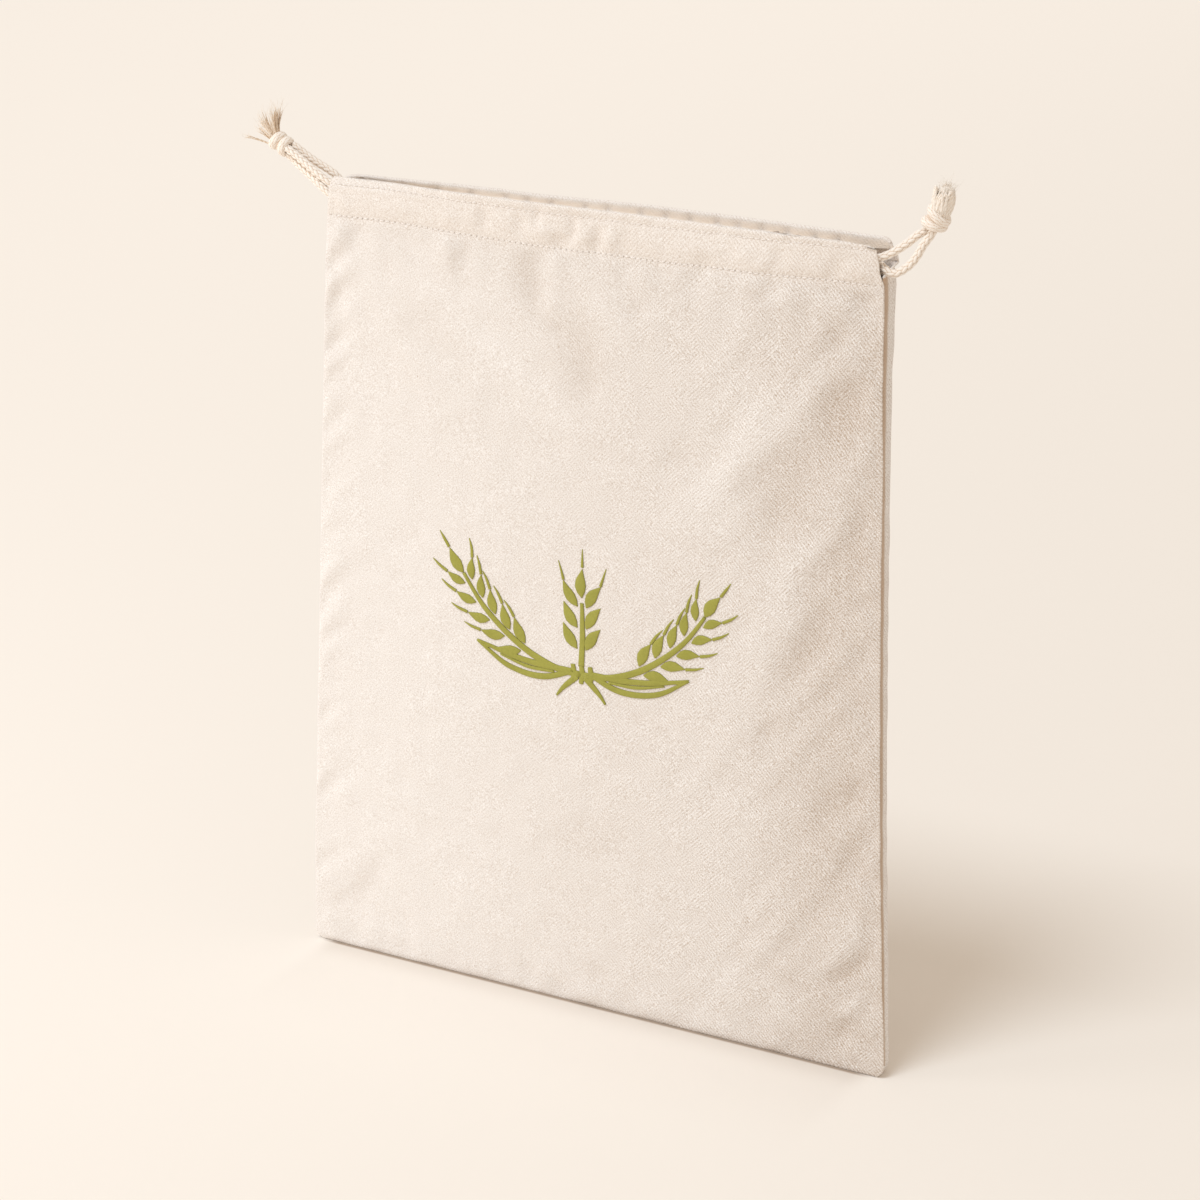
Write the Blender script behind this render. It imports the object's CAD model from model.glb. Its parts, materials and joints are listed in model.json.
"""Looks of a linen bread bag that stands upright: cloth, stitches, cords, knots and a print.

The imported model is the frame. Every soft solid of it is replaced by a fine surface in the same
place, worked out with numpy from the same sizes. Lengths are metres. Tables of folds and of cord
routes are in millimetres, and MM turns them into metres. The front of the bag faces -Y.
"""
from __future__ import annotations

import json
import logging
import math
from dataclasses import dataclass, field, replace
from enum import Enum
from typing import Any, NamedTuple

import bpy
import numpy as np
from mathutils import Matrix, Vector
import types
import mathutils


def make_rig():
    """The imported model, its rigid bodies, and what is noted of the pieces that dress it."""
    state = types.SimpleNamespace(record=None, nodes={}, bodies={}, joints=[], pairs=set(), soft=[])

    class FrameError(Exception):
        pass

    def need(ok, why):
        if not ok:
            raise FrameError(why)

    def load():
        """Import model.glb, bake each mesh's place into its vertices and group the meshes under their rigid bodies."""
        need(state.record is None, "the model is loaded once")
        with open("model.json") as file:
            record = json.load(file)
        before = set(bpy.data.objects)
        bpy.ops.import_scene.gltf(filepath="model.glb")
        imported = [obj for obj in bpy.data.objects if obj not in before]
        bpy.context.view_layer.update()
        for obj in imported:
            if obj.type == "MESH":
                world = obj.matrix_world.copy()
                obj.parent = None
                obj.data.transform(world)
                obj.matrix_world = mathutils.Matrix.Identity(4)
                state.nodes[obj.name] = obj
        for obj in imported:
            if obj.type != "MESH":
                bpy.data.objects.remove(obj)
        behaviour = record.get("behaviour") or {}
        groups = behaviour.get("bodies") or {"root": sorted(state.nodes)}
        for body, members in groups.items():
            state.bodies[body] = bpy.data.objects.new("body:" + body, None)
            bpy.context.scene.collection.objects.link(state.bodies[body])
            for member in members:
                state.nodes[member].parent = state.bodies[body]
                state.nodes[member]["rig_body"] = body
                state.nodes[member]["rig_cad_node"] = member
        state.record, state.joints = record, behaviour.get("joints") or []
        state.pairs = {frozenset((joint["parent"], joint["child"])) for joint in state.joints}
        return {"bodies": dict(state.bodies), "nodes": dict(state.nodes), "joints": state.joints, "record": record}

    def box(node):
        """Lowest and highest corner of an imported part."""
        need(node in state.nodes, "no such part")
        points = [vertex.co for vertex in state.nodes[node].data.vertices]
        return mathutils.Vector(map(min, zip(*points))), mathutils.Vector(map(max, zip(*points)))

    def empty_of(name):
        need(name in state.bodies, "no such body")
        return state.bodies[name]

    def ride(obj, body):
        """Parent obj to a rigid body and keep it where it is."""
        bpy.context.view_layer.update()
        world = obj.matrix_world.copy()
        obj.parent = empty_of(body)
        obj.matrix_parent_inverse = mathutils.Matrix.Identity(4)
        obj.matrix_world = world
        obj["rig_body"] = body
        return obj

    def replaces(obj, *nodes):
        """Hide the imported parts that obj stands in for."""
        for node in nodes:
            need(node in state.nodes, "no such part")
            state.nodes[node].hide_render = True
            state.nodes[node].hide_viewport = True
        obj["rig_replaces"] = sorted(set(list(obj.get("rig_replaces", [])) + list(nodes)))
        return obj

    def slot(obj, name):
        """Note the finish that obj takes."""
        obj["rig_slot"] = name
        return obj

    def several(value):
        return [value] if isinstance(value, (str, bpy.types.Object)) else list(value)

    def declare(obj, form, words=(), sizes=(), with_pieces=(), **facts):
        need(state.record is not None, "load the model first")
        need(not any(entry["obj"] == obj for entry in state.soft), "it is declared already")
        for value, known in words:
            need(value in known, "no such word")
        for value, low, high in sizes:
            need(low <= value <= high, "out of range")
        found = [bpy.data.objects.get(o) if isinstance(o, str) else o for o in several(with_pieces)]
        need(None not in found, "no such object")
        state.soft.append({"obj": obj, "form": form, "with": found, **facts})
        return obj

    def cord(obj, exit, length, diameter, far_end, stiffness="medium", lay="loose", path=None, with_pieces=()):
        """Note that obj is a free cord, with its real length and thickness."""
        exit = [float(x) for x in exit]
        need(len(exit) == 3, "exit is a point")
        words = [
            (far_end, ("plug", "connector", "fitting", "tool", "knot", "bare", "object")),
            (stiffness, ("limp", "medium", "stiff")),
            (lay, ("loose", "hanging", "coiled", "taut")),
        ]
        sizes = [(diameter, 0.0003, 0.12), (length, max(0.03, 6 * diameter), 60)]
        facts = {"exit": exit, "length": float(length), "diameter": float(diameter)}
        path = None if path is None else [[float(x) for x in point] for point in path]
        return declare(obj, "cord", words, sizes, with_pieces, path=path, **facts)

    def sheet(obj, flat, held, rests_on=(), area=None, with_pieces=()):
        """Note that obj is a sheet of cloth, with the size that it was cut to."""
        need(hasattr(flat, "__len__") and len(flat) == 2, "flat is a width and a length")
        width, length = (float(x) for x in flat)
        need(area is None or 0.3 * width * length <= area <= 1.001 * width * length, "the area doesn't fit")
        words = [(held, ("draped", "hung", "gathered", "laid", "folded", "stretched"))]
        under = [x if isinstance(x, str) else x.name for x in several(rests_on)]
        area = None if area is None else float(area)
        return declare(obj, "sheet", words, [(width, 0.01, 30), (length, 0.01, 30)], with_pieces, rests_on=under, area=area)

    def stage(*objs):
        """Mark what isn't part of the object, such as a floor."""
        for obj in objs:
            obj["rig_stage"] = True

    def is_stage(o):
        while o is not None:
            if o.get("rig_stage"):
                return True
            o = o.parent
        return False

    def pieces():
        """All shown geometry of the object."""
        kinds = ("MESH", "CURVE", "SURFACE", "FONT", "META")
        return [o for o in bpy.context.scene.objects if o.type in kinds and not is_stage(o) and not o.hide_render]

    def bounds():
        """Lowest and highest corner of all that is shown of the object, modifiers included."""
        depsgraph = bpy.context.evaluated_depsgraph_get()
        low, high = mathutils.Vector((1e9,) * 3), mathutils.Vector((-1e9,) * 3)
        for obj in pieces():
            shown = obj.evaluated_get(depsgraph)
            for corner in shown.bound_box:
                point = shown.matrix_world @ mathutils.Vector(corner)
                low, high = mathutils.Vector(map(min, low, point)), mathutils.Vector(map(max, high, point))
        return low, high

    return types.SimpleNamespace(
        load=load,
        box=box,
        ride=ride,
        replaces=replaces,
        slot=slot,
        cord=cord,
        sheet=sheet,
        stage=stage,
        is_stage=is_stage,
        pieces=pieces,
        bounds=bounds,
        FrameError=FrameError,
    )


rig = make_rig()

LOG = logging.getLogger("bread_bag")
Array = np.ndarray
Material = bpy.types.Material
Piece = bpy.types.Object
Colour = tuple[float, float, float, float]
SHEEN_ROUGHNESS = 0.6
SPECULAR = 0.15
MM = 0.001
TURN = 2 * math.pi
SIZE_FILE = "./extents.json"
CLOTH_UV = "cloth"
TONE = "tone"
SHADE = "shade"
TINY = 1e-12
GOLDEN_ANGLE = 2.39996
# A path is steep where more than this share of its direction points upwards.
STEEP = 0.8


# ---------------------------------------------------------------- curves and surfaces


def smoothstep(low: float, high: float, value: Array) -> Array:
    """Rise smoothly from 0 at low to 1 at high: 3t^2 - 2t^3 of the clamped share t."""
    t = np.clip((value - low) / (high - low), 0.0, 1.0)
    return t * t * (3 - 2 * t)


def bell(distance: Array, half_width: float) -> Array:
    """A soft bump: e to the minus square of distance over half_width."""
    return np.exp(-((distance / half_width) ** 2))


def unit(vectors: Array) -> Array:
    """Divide vectors by their length."""
    return vectors / np.maximum(np.linalg.norm(vectors, axis=-1, keepdims=True), TINY)


def ripple(x: Array, z: Array, wavelength: float, seed: int, waves: int = 14) -> Array:
    """Smooth uneven relief: a sum of cosine waves in random directions, about 1 high.

    Args:
        x: Place across.
        z: Place upwards, of the same shape.
        wavelength: Mean length of the waves.
        seed: Seed of the waves' directions and phases.
        waves: How many waves are added.

    Returns:
        The relief at each place.
    """
    rng = np.random.default_rng(seed)
    heading = rng.uniform(0.0, TURN, waves)
    length = wavelength * rng.uniform(0.7, 1.5, waves)
    phase = rng.uniform(0.0, TURN, waves)
    run = x[..., None] * np.cos(heading) + z[..., None] * np.sin(heading)
    return np.cos(run * TURN / length + phase).sum(-1) / math.sqrt(waves / 2)


def spline(points: Array, steps: int = 24) -> Array:
    """Read points through a Catmull-Rom curve.

    Args:
        points: Hand-placed points, one a row.
        steps: Curve points to each stretch between two of them.

    Returns:
        The curve's points, the last of the given points among them.
    """
    padded = np.concatenate([2 * points[:1] - points[1:2], points, 2 * points[-1:] - points[-2:-1]])
    before, start, end, after = (padded[i:len(points) - 1 + i, None] for i in range(4))
    t = (np.arange(steps) / steps)[None, :, None]
    curve = 0.5 * (2 * start + (end - before) * t + (2 * before - 5 * start + 4 * end - after) * t**2
                   + (3 * start - before - 3 * end + after) * t**3)
    return np.concatenate([curve.reshape(-1, points.shape[1]), points[-1:]])


def arc_length(path: Array) -> Array:
    """Distance from a path's start at each of its points."""
    steps = np.linalg.norm(np.diff(path, axis=0), axis=1)
    return np.concatenate([[0.0], np.cumsum(steps)])


def respaced(path: Array, spacing: Array) -> Array:
    """Walk a path again with the step that spacing asks for at each of its points.

    The count of steps up to a point is the sum of distance over spacing. The new points share
    out that count evenly.

    Args:
        path: The points of the old path.
        spacing: The step that is wanted at each of them.

    Returns:
        The points of the new path.
    """
    steps = np.linalg.norm(np.diff(path, axis=0), axis=1)
    count = np.concatenate([[0.0], np.cumsum(steps * 2 / (spacing[1:] + spacing[:-1]))])
    wanted = np.linspace(0.0, count[-1], int(math.ceil(count[-1])) + 1)
    return np.stack([np.interp(wanted, count, column) for column in path.T], -1)


def carried_frames(paths: Array) -> tuple[Array, Array]:
    """Two directions square to a path that turn with it and never twist.

    Each point's frame starts from a fixed axis, another one where the path is steep. The angle by
    which it turns from the frame before it is summed along the path and taken back.

    Args:
        paths: One or several paths, with their points along the axis before the last.

    Returns:
        The directions across and beside the path, at each point.
    """
    tangent = unit(np.gradient(paths, axis=-2))
    steep = np.abs(tangent[..., 2:3]) > STEEP
    axis = np.where(steep, np.array([1.0, 0.0, 0.0]), np.array([0.0, 0.0, 1.0]))
    across = unit(np.cross(tangent, axis))
    beside = np.cross(tangent, across)
    later, cosine, sine = across[..., 1:, :], across[..., :-1, :], beside[..., :-1, :]
    step = np.arctan2((later * sine).sum(-1), (later * cosine).sum(-1))
    turn = np.concatenate([np.zeros_like(step[..., :1]), np.cumsum(step, axis=-1)], -1)[..., None]
    return (across * np.cos(turn) - beside * np.sin(turn),
            across * np.sin(turn) + beside * np.cos(turn))


class Patch(NamedTuple):
    """A stretch of mesh: points, four-cornered faces and a tone from 0 (deep) to 1 (proud)."""
    points: Array
    quads: Array
    tone: Array


def grid_quads(rows: int, columns: int, closed: bool = False) -> Array:
    """Corner numbers of a grid's faces, row by row; closed joins the last column to the first."""
    row = np.arange(rows - 1)[:, None]
    column = np.arange(columns if closed else columns - 1)[None, :]
    here, beside = row * columns + column, row * columns + (column + 1) % columns
    return np.stack([here, beside, beside + columns, here + columns], -1).reshape(-1, 4)


def joined(patches: list[Patch]) -> Patch:
    """One patch of several, with their faces' corner numbers moved up."""
    offsets = np.cumsum([0] + [len(patch.points) for patch in patches[:-1]])
    return Patch(np.concatenate([patch.points for patch in patches]),
                 np.concatenate([patch.quads + start for patch, start in zip(patches, offsets)]),
                 np.concatenate([patch.tone for patch in patches]))


def rings_patch(rings: Array, tone: Array) -> Patch:
    """Close one or several tubes of rings: their skins, and a fan over each end.

    Args:
        rings: Points of shape (tubes, rings, sides, 3).
        tone: Tone of shape (tubes, rings, sides).

    Returns:
        The patch. A fan's faces are quads whose last two corners are both the end's middle.
    """
    tubes, count, sides = rings.shape[:3]
    middles = rings[:, [0, -1]].mean(2)
    points = np.concatenate([rings.reshape(tubes, -1, 3), middles], 1)
    skin = grid_quads(count, sides, closed=True)
    side = np.arange(sides)
    first, last = count * sides, count * sides + 1
    beside, rim = (side + 1) % sides, (count - 1) * sides
    start = np.stack([beside, side, np.full(sides, first), np.full(sides, first)], -1)
    end = np.stack([rim + side, rim + beside, np.full(sides, last), np.full(sides, last)], -1)
    quads = np.concatenate([skin, start, end])[None] + (np.arange(tubes) * (last + 1))[:, None, None]
    ends = np.stack([tone[:, 0].mean(-1), tone[:, -1].mean(-1)], -1)
    tones = np.concatenate([tone.reshape(tubes, -1), ends], 1)
    return Patch(points.reshape(-1, 3), quads.reshape(-1, 4), tones.ravel())


def tubes_patch(paths: Array, radii: Array, sides: int, ply: float = 0.0, twist: float = 1.0) -> Patch:
    """Round yarns along paths: radius times (1 + ply * cos(2 * (angle - twist * place))).

    Args:
        paths: Points of shape (yarns, points, 3).
        radii: Radius at each of those points.
        sides: Corners of each ring.
        ply: Share by which the two plies stand proud.
        twist: Turn of the plies, in radians for each metre.

    Returns:
        The yarns as one patch, with the plies' grooves as its low tone.
    """
    across, beside = carried_frames(paths)
    angle = np.arange(sides) / sides * TURN
    place = np.cumsum(np.linalg.norm(np.diff(paths, axis=1, prepend=paths[:, :1]), axis=-1), axis=1)
    lobe = np.cos(2 * (angle - twist * place[..., None]))
    radius = radii[..., None] * (1 + ply * lobe)
    first, second = (radius * np.cos(angle))[..., None], (radius * np.sin(angle))[..., None]
    rings = paths[:, :, None] + across[:, :, None] * first + beside[:, :, None] * second
    return rings_patch(rings, 0.5 + 0.5 * lobe * (ply > 0))


def dome(across: Array, height: Array, axes: Array, sides: int) -> Array:
    """Rings of a round body: a circle of radius across at each height, on the axes' rows.

    Args:
        across: Radius of each ring.
        height: Height of each ring along the third axis.
        axes: Three directions, one a row.
        sides: Corners of each ring.

    Returns:
        Points of shape (rings, sides, 3), from the body's own middle.
    """
    angle = np.linspace(0.0, TURN, sides, endpoint=False)[None, :]
    return ((across[:, None] * np.cos(angle))[..., None] * axes[0]
            + (across[:, None] * np.sin(angle))[..., None] * axes[1]
            + height[:, None, None] * axes[2])


def mesh_object(name: str, patch: Patch, material: Material,
                uv: Array | None = None, shade: Array | None = None) -> Piece:
    """Put a patch into a mesh object with its tone, its UV map and its material.

    Args:
        name: Name of the object.
        patch: Its points, faces and tone.
        material: Its finish.
        uv: Optional place on the flat cloth for each point, in metres.
        shade: Optional depth of the cloth's own colour for each point.

    Returns:
        The object, at the origin.
    """
    last = patch.quads[:, 3]
    fans = last == patch.quads[:, 2]
    faces = patch.quads[~fans].tolist() + patch.quads[fans, :3].tolist()
    mesh = bpy.data.meshes.new(name)
    mesh.from_pydata(patch.points.tolist(), [], faces)
    mesh.shade_smooth()
    for label, values in ((TONE, patch.tone), (SHADE, shade)):
        if values is not None:
            layer = mesh.attributes.new(label, "FLOAT", "POINT")
            layer.data.foreach_set("value", values.astype(np.float32))
    if uv is not None:
        corners = np.empty(len(mesh.loops), np.int32)
        mesh.loops.foreach_get("vertex_index", corners)
        layer = mesh.uv_layers.new(name=CLOTH_UV)
        layer.data.foreach_set("uv", uv[corners].astype(np.float32).ravel())
    mesh.materials.append(material)
    made = bpy.data.objects.new(name, mesh)
    bpy.context.scene.collection.objects.link(made)
    return made


def cloth_shell(points: Array, thickness: float) -> tuple[Array, Array, Array, Array]:
    """Give a sheet its thickness, with half-round edges.

    The second face is the first one moved along its normals. Along the rim the cloth is half a
    circle: the edge goes out by sin and back by 1 - cos of an angle from 0 to a half turn.

    Args:
        points: Outer face, of shape (rows, columns, 3), with rows and columns turning
            anticlockwise seen from outside.
        thickness: Thickness of the cloth.

    Returns:
        The closed shell's points, its faces, for each point the number of the grid's point that
        it comes from, and 1 for the points of the second face.
    """
    rows, columns = points.shape[:2]
    down, over = np.gradient(points, axis=0), np.gradient(points, axis=1)
    normal = unit(np.cross(over, down)).reshape(-1, 3)
    outer = points.reshape(-1, 3)
    number = np.arange(rows * columns).reshape(rows, columns)
    rim = np.concatenate([number[0, :-1], number[:-1, -1], number[-1, :0:-1], number[:0:-1, 0]])
    row, column = np.divmod(rim, columns)
    inside = number[np.clip(row, 1, rows - 2), np.clip(column, 1, columns - 2)]
    outward = outer[rim] - outer[inside]
    outward = unit(outward - (outward * normal[rim]).sum(-1, keepdims=True) * normal[rim])
    angles = np.linspace(0.0, math.pi, 5)[1:-1]
    edges = [outer[rim] - normal[rim] * thickness / 2 * (1 - math.cos(angle))
             + outward * thickness / 2 * math.sin(angle) for angle in angles]
    total = rows * columns
    rings = [rim, *(2 * total + len(rim) * i + np.arange(len(rim)) for i in range(len(edges))),
             rim + total]
    skin = grid_quads(rows, columns)
    strips = [np.stack([near, far, np.roll(far, -1), np.roll(near, -1)], -1)
              for near, far in zip(rings, rings[1:])]
    source = np.concatenate([number.ravel(), number.ravel(), *([rim] * len(edges))])
    return (np.concatenate([outer, outer - normal * thickness, *edges]),
            np.concatenate([skin, skin[:, ::-1] + total, *strips]), source,
            np.repeat([0.0, 1.0, 0.0], [total, total, len(rim) * len(edges)]))


# ---------------------------------------------------------------- shaders


class Socket:
    """An output of a shader node that Python's operators act on by adding Math nodes."""

    def __init__(self, shader: Shader, output: bpy.types.NodeSocket) -> None:
        """Keep the output and the shader that it belongs to."""
        self.shader = shader
        self.output = output

    def math(self, operation: str, *values: Any) -> Socket:
        """Add a Math node with these inputs."""
        return self.shader.node("ShaderNodeMath", {"operation": operation}, dict(enumerate(values)))

    def __add__(self, other: Any) -> Socket:
        """self + other"""
        return self.math("ADD", self, other)

    __radd__ = __add__

    def __sub__(self, other: Any) -> Socket:
        """self - other"""
        return self.math("SUBTRACT", self, other)

    def __rsub__(self, other: Any) -> Socket:
        """other - self"""
        return self.math("SUBTRACT", other, self)

    def __mul__(self, other: Any) -> Socket:
        """self * other"""
        return self.math("MULTIPLY", self, other)

    __rmul__ = __mul__

    def sine(self) -> Socket:
        """Sine of self."""
        return self.math("SINE", self)

    def between(self, low: float, high: float) -> Socket:
        """Rise smoothly from 0 at low to 1 at high."""
        return self.shader.node("ShaderNodeMapRange", {"interpolation_type": "SMOOTHSTEP"},
                                {"Value": self, "From Min": low, "From Max": high})

    def near(self, centre: float, half_width: float) -> Socket:
        """1 at centre, smoothly down to 0 at half_width from it."""
        return 1.0 - self.math("ABSOLUTE", self - centre).between(0.0, half_width)


class Shader:
    """A material with one Principled surface, and the methods that add nodes to it."""

    def __init__(self, name: str) -> None:
        """Start a material of that name."""
        self.material = bpy.data.materials.new(name)
        self.material.use_nodes = True
        self.tree = self.material.node_tree
        self.surface = self.tree.nodes["Principled BSDF"]

    def node(self, kind: str, settings: dict[str, Any] | None = None,
             values: dict[Any, Any] | None = None, output: int | str = 0) -> Socket:
        """Add a node.

        Args:
            kind: Type of the node.
            settings: Its own settings, which are set first.
            values: A number, colour or socket for each of its inputs, by name or number.
            output: Which output to return.

        Returns:
            That output.
        """
        made = self.tree.nodes.new(kind)
        for key, value in (settings or {}).items():
            setattr(made, key, value)
        for key, value in (values or {}).items():
            self.feed(made.inputs[key], value)
        return Socket(self, made.outputs[output])

    def feed(self, target: bpy.types.NodeSocket, value: Any) -> None:
        """Link a socket to an input, or set its value."""
        if isinstance(value, Socket):
            self.tree.links.new(value.output, target)
        else:
            target.default_value = value

    def blend(self, share: Socket, first: Any, second: Any) -> Socket:
        """Mix two colours: first at a share of 0, second at 1."""
        colours = {0: share, 6: first, 7: second}
        return self.node("ShaderNodeMix", {"data_type": "RGBA"}, colours, output=2)

    def place(self) -> Socket:
        """Object coordinates, in metres."""
        return self.node("ShaderNodeTexCoord", output="Object")

    def painted(self, name: str) -> Socket:
        """A value that the mesh carries on its points."""
        return self.node("ShaderNodeAttribute", {"attribute_name": name}, output="Fac")

    def apart(self, vector: Socket) -> tuple[Socket, Socket]:
        """The first two parts of a vector."""
        first = self.node("ShaderNodeSeparateXYZ", values={0: vector})
        return first, Socket(self, first.output.node.outputs[1])

    def relief(self, height: Socket, strength: float, distance: float) -> Socket:
        """Normals of a relief that stands distance high where height is 1."""
        return self.node("ShaderNodeBump", values={"Strength": strength, "Distance": distance,
                                                   "Height": height})

    def noise(self, place: Socket, size: float, detail: float = 2.0, seed: float = 0.0) -> Socket:
        """Noise from 0 to 1 with features about size metres wide."""
        return self.node("ShaderNodeTexNoise", {"noise_dimensions": "4D"},
                         {"Vector": place, "W": seed, "Scale": 1 / size, "Detail": detail})

    def finish(self, roughness: float, sheen: float, **fed: Socket) -> None:
        """Set what is the same all over, and feed what varies.

        Args:
            roughness: Roughness of the surface.
            sheen: Weight of its sheen.
            **fed: Sockets by the surface's input, with _ for each space.
        """
        same = {"Roughness": roughness, "Sheen Weight": sheen, "Sheen Roughness": SHEEN_ROUGHNESS,
                "Specular IOR Level": SPECULAR}
        for name, value in (*same.items(), *fed.items()):
            self.feed(self.surface.inputs[name.replace("_", " ")], value)


def colour(red: float, green: float, blue: float) -> Colour:
    """An opaque colour, in linear values."""
    return (red, green, blue, 1.0)


@dataclass(frozen=True)
class Finish:
    """What the finishes share: making a material, whose surface dress then feeds."""

    def material(self, name: str) -> Material:
        """Make a material of this finish."""
        shader = Shader(name)
        self.dress(shader)
        return shader.material

    def dress(self, shader: Shader) -> None:
        """Feed a new material's surface."""
        raise NotImplementedError


@dataclass(frozen=True)
class LinenFinish(Finish):
    """Natural linen: uneven diagonal weave, brown flecks, and needle holes along the rows."""
    light: Colour = colour(0.938, 0.911, 0.888)
    dark: Colour = colour(0.432, 0.322, 0.232)
    warm: Colour = colour(0.990, 0.865, 0.745)
    fleck: Colour = colour(0.420, 0.300, 0.210)
    hole: Colour = colour(0.380, 0.270, 0.190)
    worn: Colour = colour(0.990, 0.875, 0.755)
    groove: Colour = colour(0.450, 0.275, 0.140)
    contrast: float = 0.34
    rib_pitch: float = 1.95 * MM
    shake_size: float = 1.9 * MM
    side_size: float = 9.0 * MM
    grain_size: float = 0.52 * MM
    ends: tuple[float, float] = (-0.13, 0.14)
    fleck_cell: float = 6.5 * MM
    fleck_radii: tuple[float, float] = (0.030, 0.075)
    fleck_area: float = 5.0 * MM
    rows: tuple[float, float] = (0.0, 0.0)
    hole_pitch: float = 2.8 * MM
    hole_radius: float = 0.55 * MM
    bump: float = 0.16 * MM

    def weave(self, shader: Shader, u: Socket, v: Socket, place: Socket, shade: Socket) -> Socket:
        """Height of the weave, about -1 to 1: two diagonal ribs that take over from each other.

        A rib is the sine of (u + v) or (u - v), whose phase a fine noise shakes. A soft noise
        and the shade say which of the two shows, and uneven yarn adds a grain. Towards the right
        and in the heading the weave stands out more, and its ribs run more evenly.

        Args:
            shader: The material's shader.
            u: Place across the flat cloth.
            v: Place up the flat cloth.
            place: Object coordinates.
            shade: Depth of the cloth's own colour.

        Returns:
            The height.
        """
        across = shader.apart(place)[0].between(*self.ends)
        shake = shader.noise(place, self.shake_size, 2.0, 3.0) * (6.0 - across * 1.6)
        step = TURN / self.rib_pitch
        rising = ((u - v) * step + shake).sine()
        falling = ((u + v) * step + shake).sine()
        side = (shader.noise(place, self.side_size, 1.0, 7.0) * 1.8 - shade * 0.5).between(0.55, 0.95)
        ribs = rising * side + falling * (1.0 - side)
        grain = shader.noise(place, self.grain_size, 1.0, 1.0) - 0.5
        rows = v.between(self.rows[0] - 6 * MM, self.rows[0] + 2 * MM) * (0.35 - across * 0.5) + 1.0
        rise = (across * 0.30 + across * across * across * 0.15 + 0.66) * rows
        return (ribs * (across * 0.28 + 0.12) + grain * (4.6 - across * 0.2)) * rise

    def dress(self, shader: Shader) -> None:
        """Feed the weave's height and shade, the flecks, the needle holes and the worn edges.

        Args:
            shader: The new material's shader.
        """
        u, v = shader.apart(shader.node("ShaderNodeUVMap", {"uv_map": CLOTH_UV}))
        place, shade = shader.place(), shader.painted(SHADE)
        weave = self.weave(shader, u, v, place, shade)
        tone = weave * self.contrast - shade * 0.36 + 0.75
        plain = shader.blend(tone, self.dark, self.light)
        heading = v.between(self.rows[0] - 4 * MM, self.rows[0] + 3 * MM)
        cloth = shader.blend(heading * 0.14, plain, self.warm)
        spots = shader.node("ShaderNodeTexVoronoi", {"feature": "F1"},
                            {"Vector": place, "Scale": 1 / self.fleck_cell, "Randomness": 1.0})
        some = shader.noise(place, self.fleck_area, 0.0, 11.0).between(0.42, 0.66)
        near = (1.0 - spots.between(*self.fleck_radii)) * some
        flecked = shader.blend(near * 0.62, cloth, self.fleck)
        phase = (u * (TURN / self.hole_pitch)).sine()
        lower, upper = (v.near(row, self.hole_radius) for row in self.rows)
        holes = (lower + upper * 0.6) * phase.between(0.60, 1.0)
        edge = shader.painted(TONE)
        worn = shader.blend(edge, shader.blend(holes * 0.42, flecked, self.hole), self.worn)
        sewn = shader.blend(edge * -1.0, worn, self.groove)
        bump = shader.relief(weave * 0.5 - holes * 2.2, 0.8, self.bump)
        shader.finish(roughness=0.92, sheen=0.25, Base_Color=sewn, Normal=bump)


@dataclass(frozen=True)
class YarnFinish(Finish):
    """Cotton yarn: cream where it stands proud, warm brown in the grooves, with fine fibres."""
    light: Colour = colour(0.912, 0.842, 0.766)
    dark: Colour = colour(0.640, 0.460, 0.315)
    groove: tuple[float, float] = (0.00, 0.62)
    fibre: float = 0.35 * MM
    bump: float = 0.12 * MM

    def dress(self, shader: Shader) -> None:
        """Feed the tone along the yarn, shaken by fine fibres that also stand proud.

        Args:
            shader: The new material's shader.
        """
        fibres = shader.noise(shader.place(), self.fibre, 3.0, 2.0)
        proud = (shader.painted(TONE) + fibres * 0.3 - 0.15).between(*self.groove)
        yarn = shader.blend(proud, self.dark, self.light)
        bump = shader.relief(fibres, 0.5, self.bump)
        shader.finish(roughness=0.9, sheen=0.4, Base_Color=yarn, Normal=bump)


@dataclass(frozen=True)
class InkFinish(Finish):
    """Thick olive print that sits on the cloth and shows a little of its grain."""
    light: Colour = colour(0.385, 0.368, 0.072)
    dark: Colour = colour(0.285, 0.275, 0.045)
    edge: Colour = colour(0.190, 0.160, 0.040)
    grain: float = 0.8 * MM
    drift: float = 14.0 * MM
    bump: float = 0.1 * MM

    def dress(self, shader: Shader) -> None:
        """Feed the ink's cloudy olive, darker at the rim of a stroke.

        Args:
            shader: The new material's shader.
        """
        place = shader.place()
        grain = shader.noise(place, self.grain, 3.0, 4.0)
        drift = shader.noise(place, self.drift, 2.0, 9.0)
        body = shader.blend((grain * 0.6 + drift * 0.5).between(0.2, 0.9), self.dark, self.light)
        ink = shader.blend(shader.painted(TONE).between(0.10, 0.75), self.edge, body)
        bump = shader.relief(grain, 0.4, self.bump)
        shader.finish(roughness=0.62, sheen=0.1, Base_Color=ink, Normal=bump)


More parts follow.
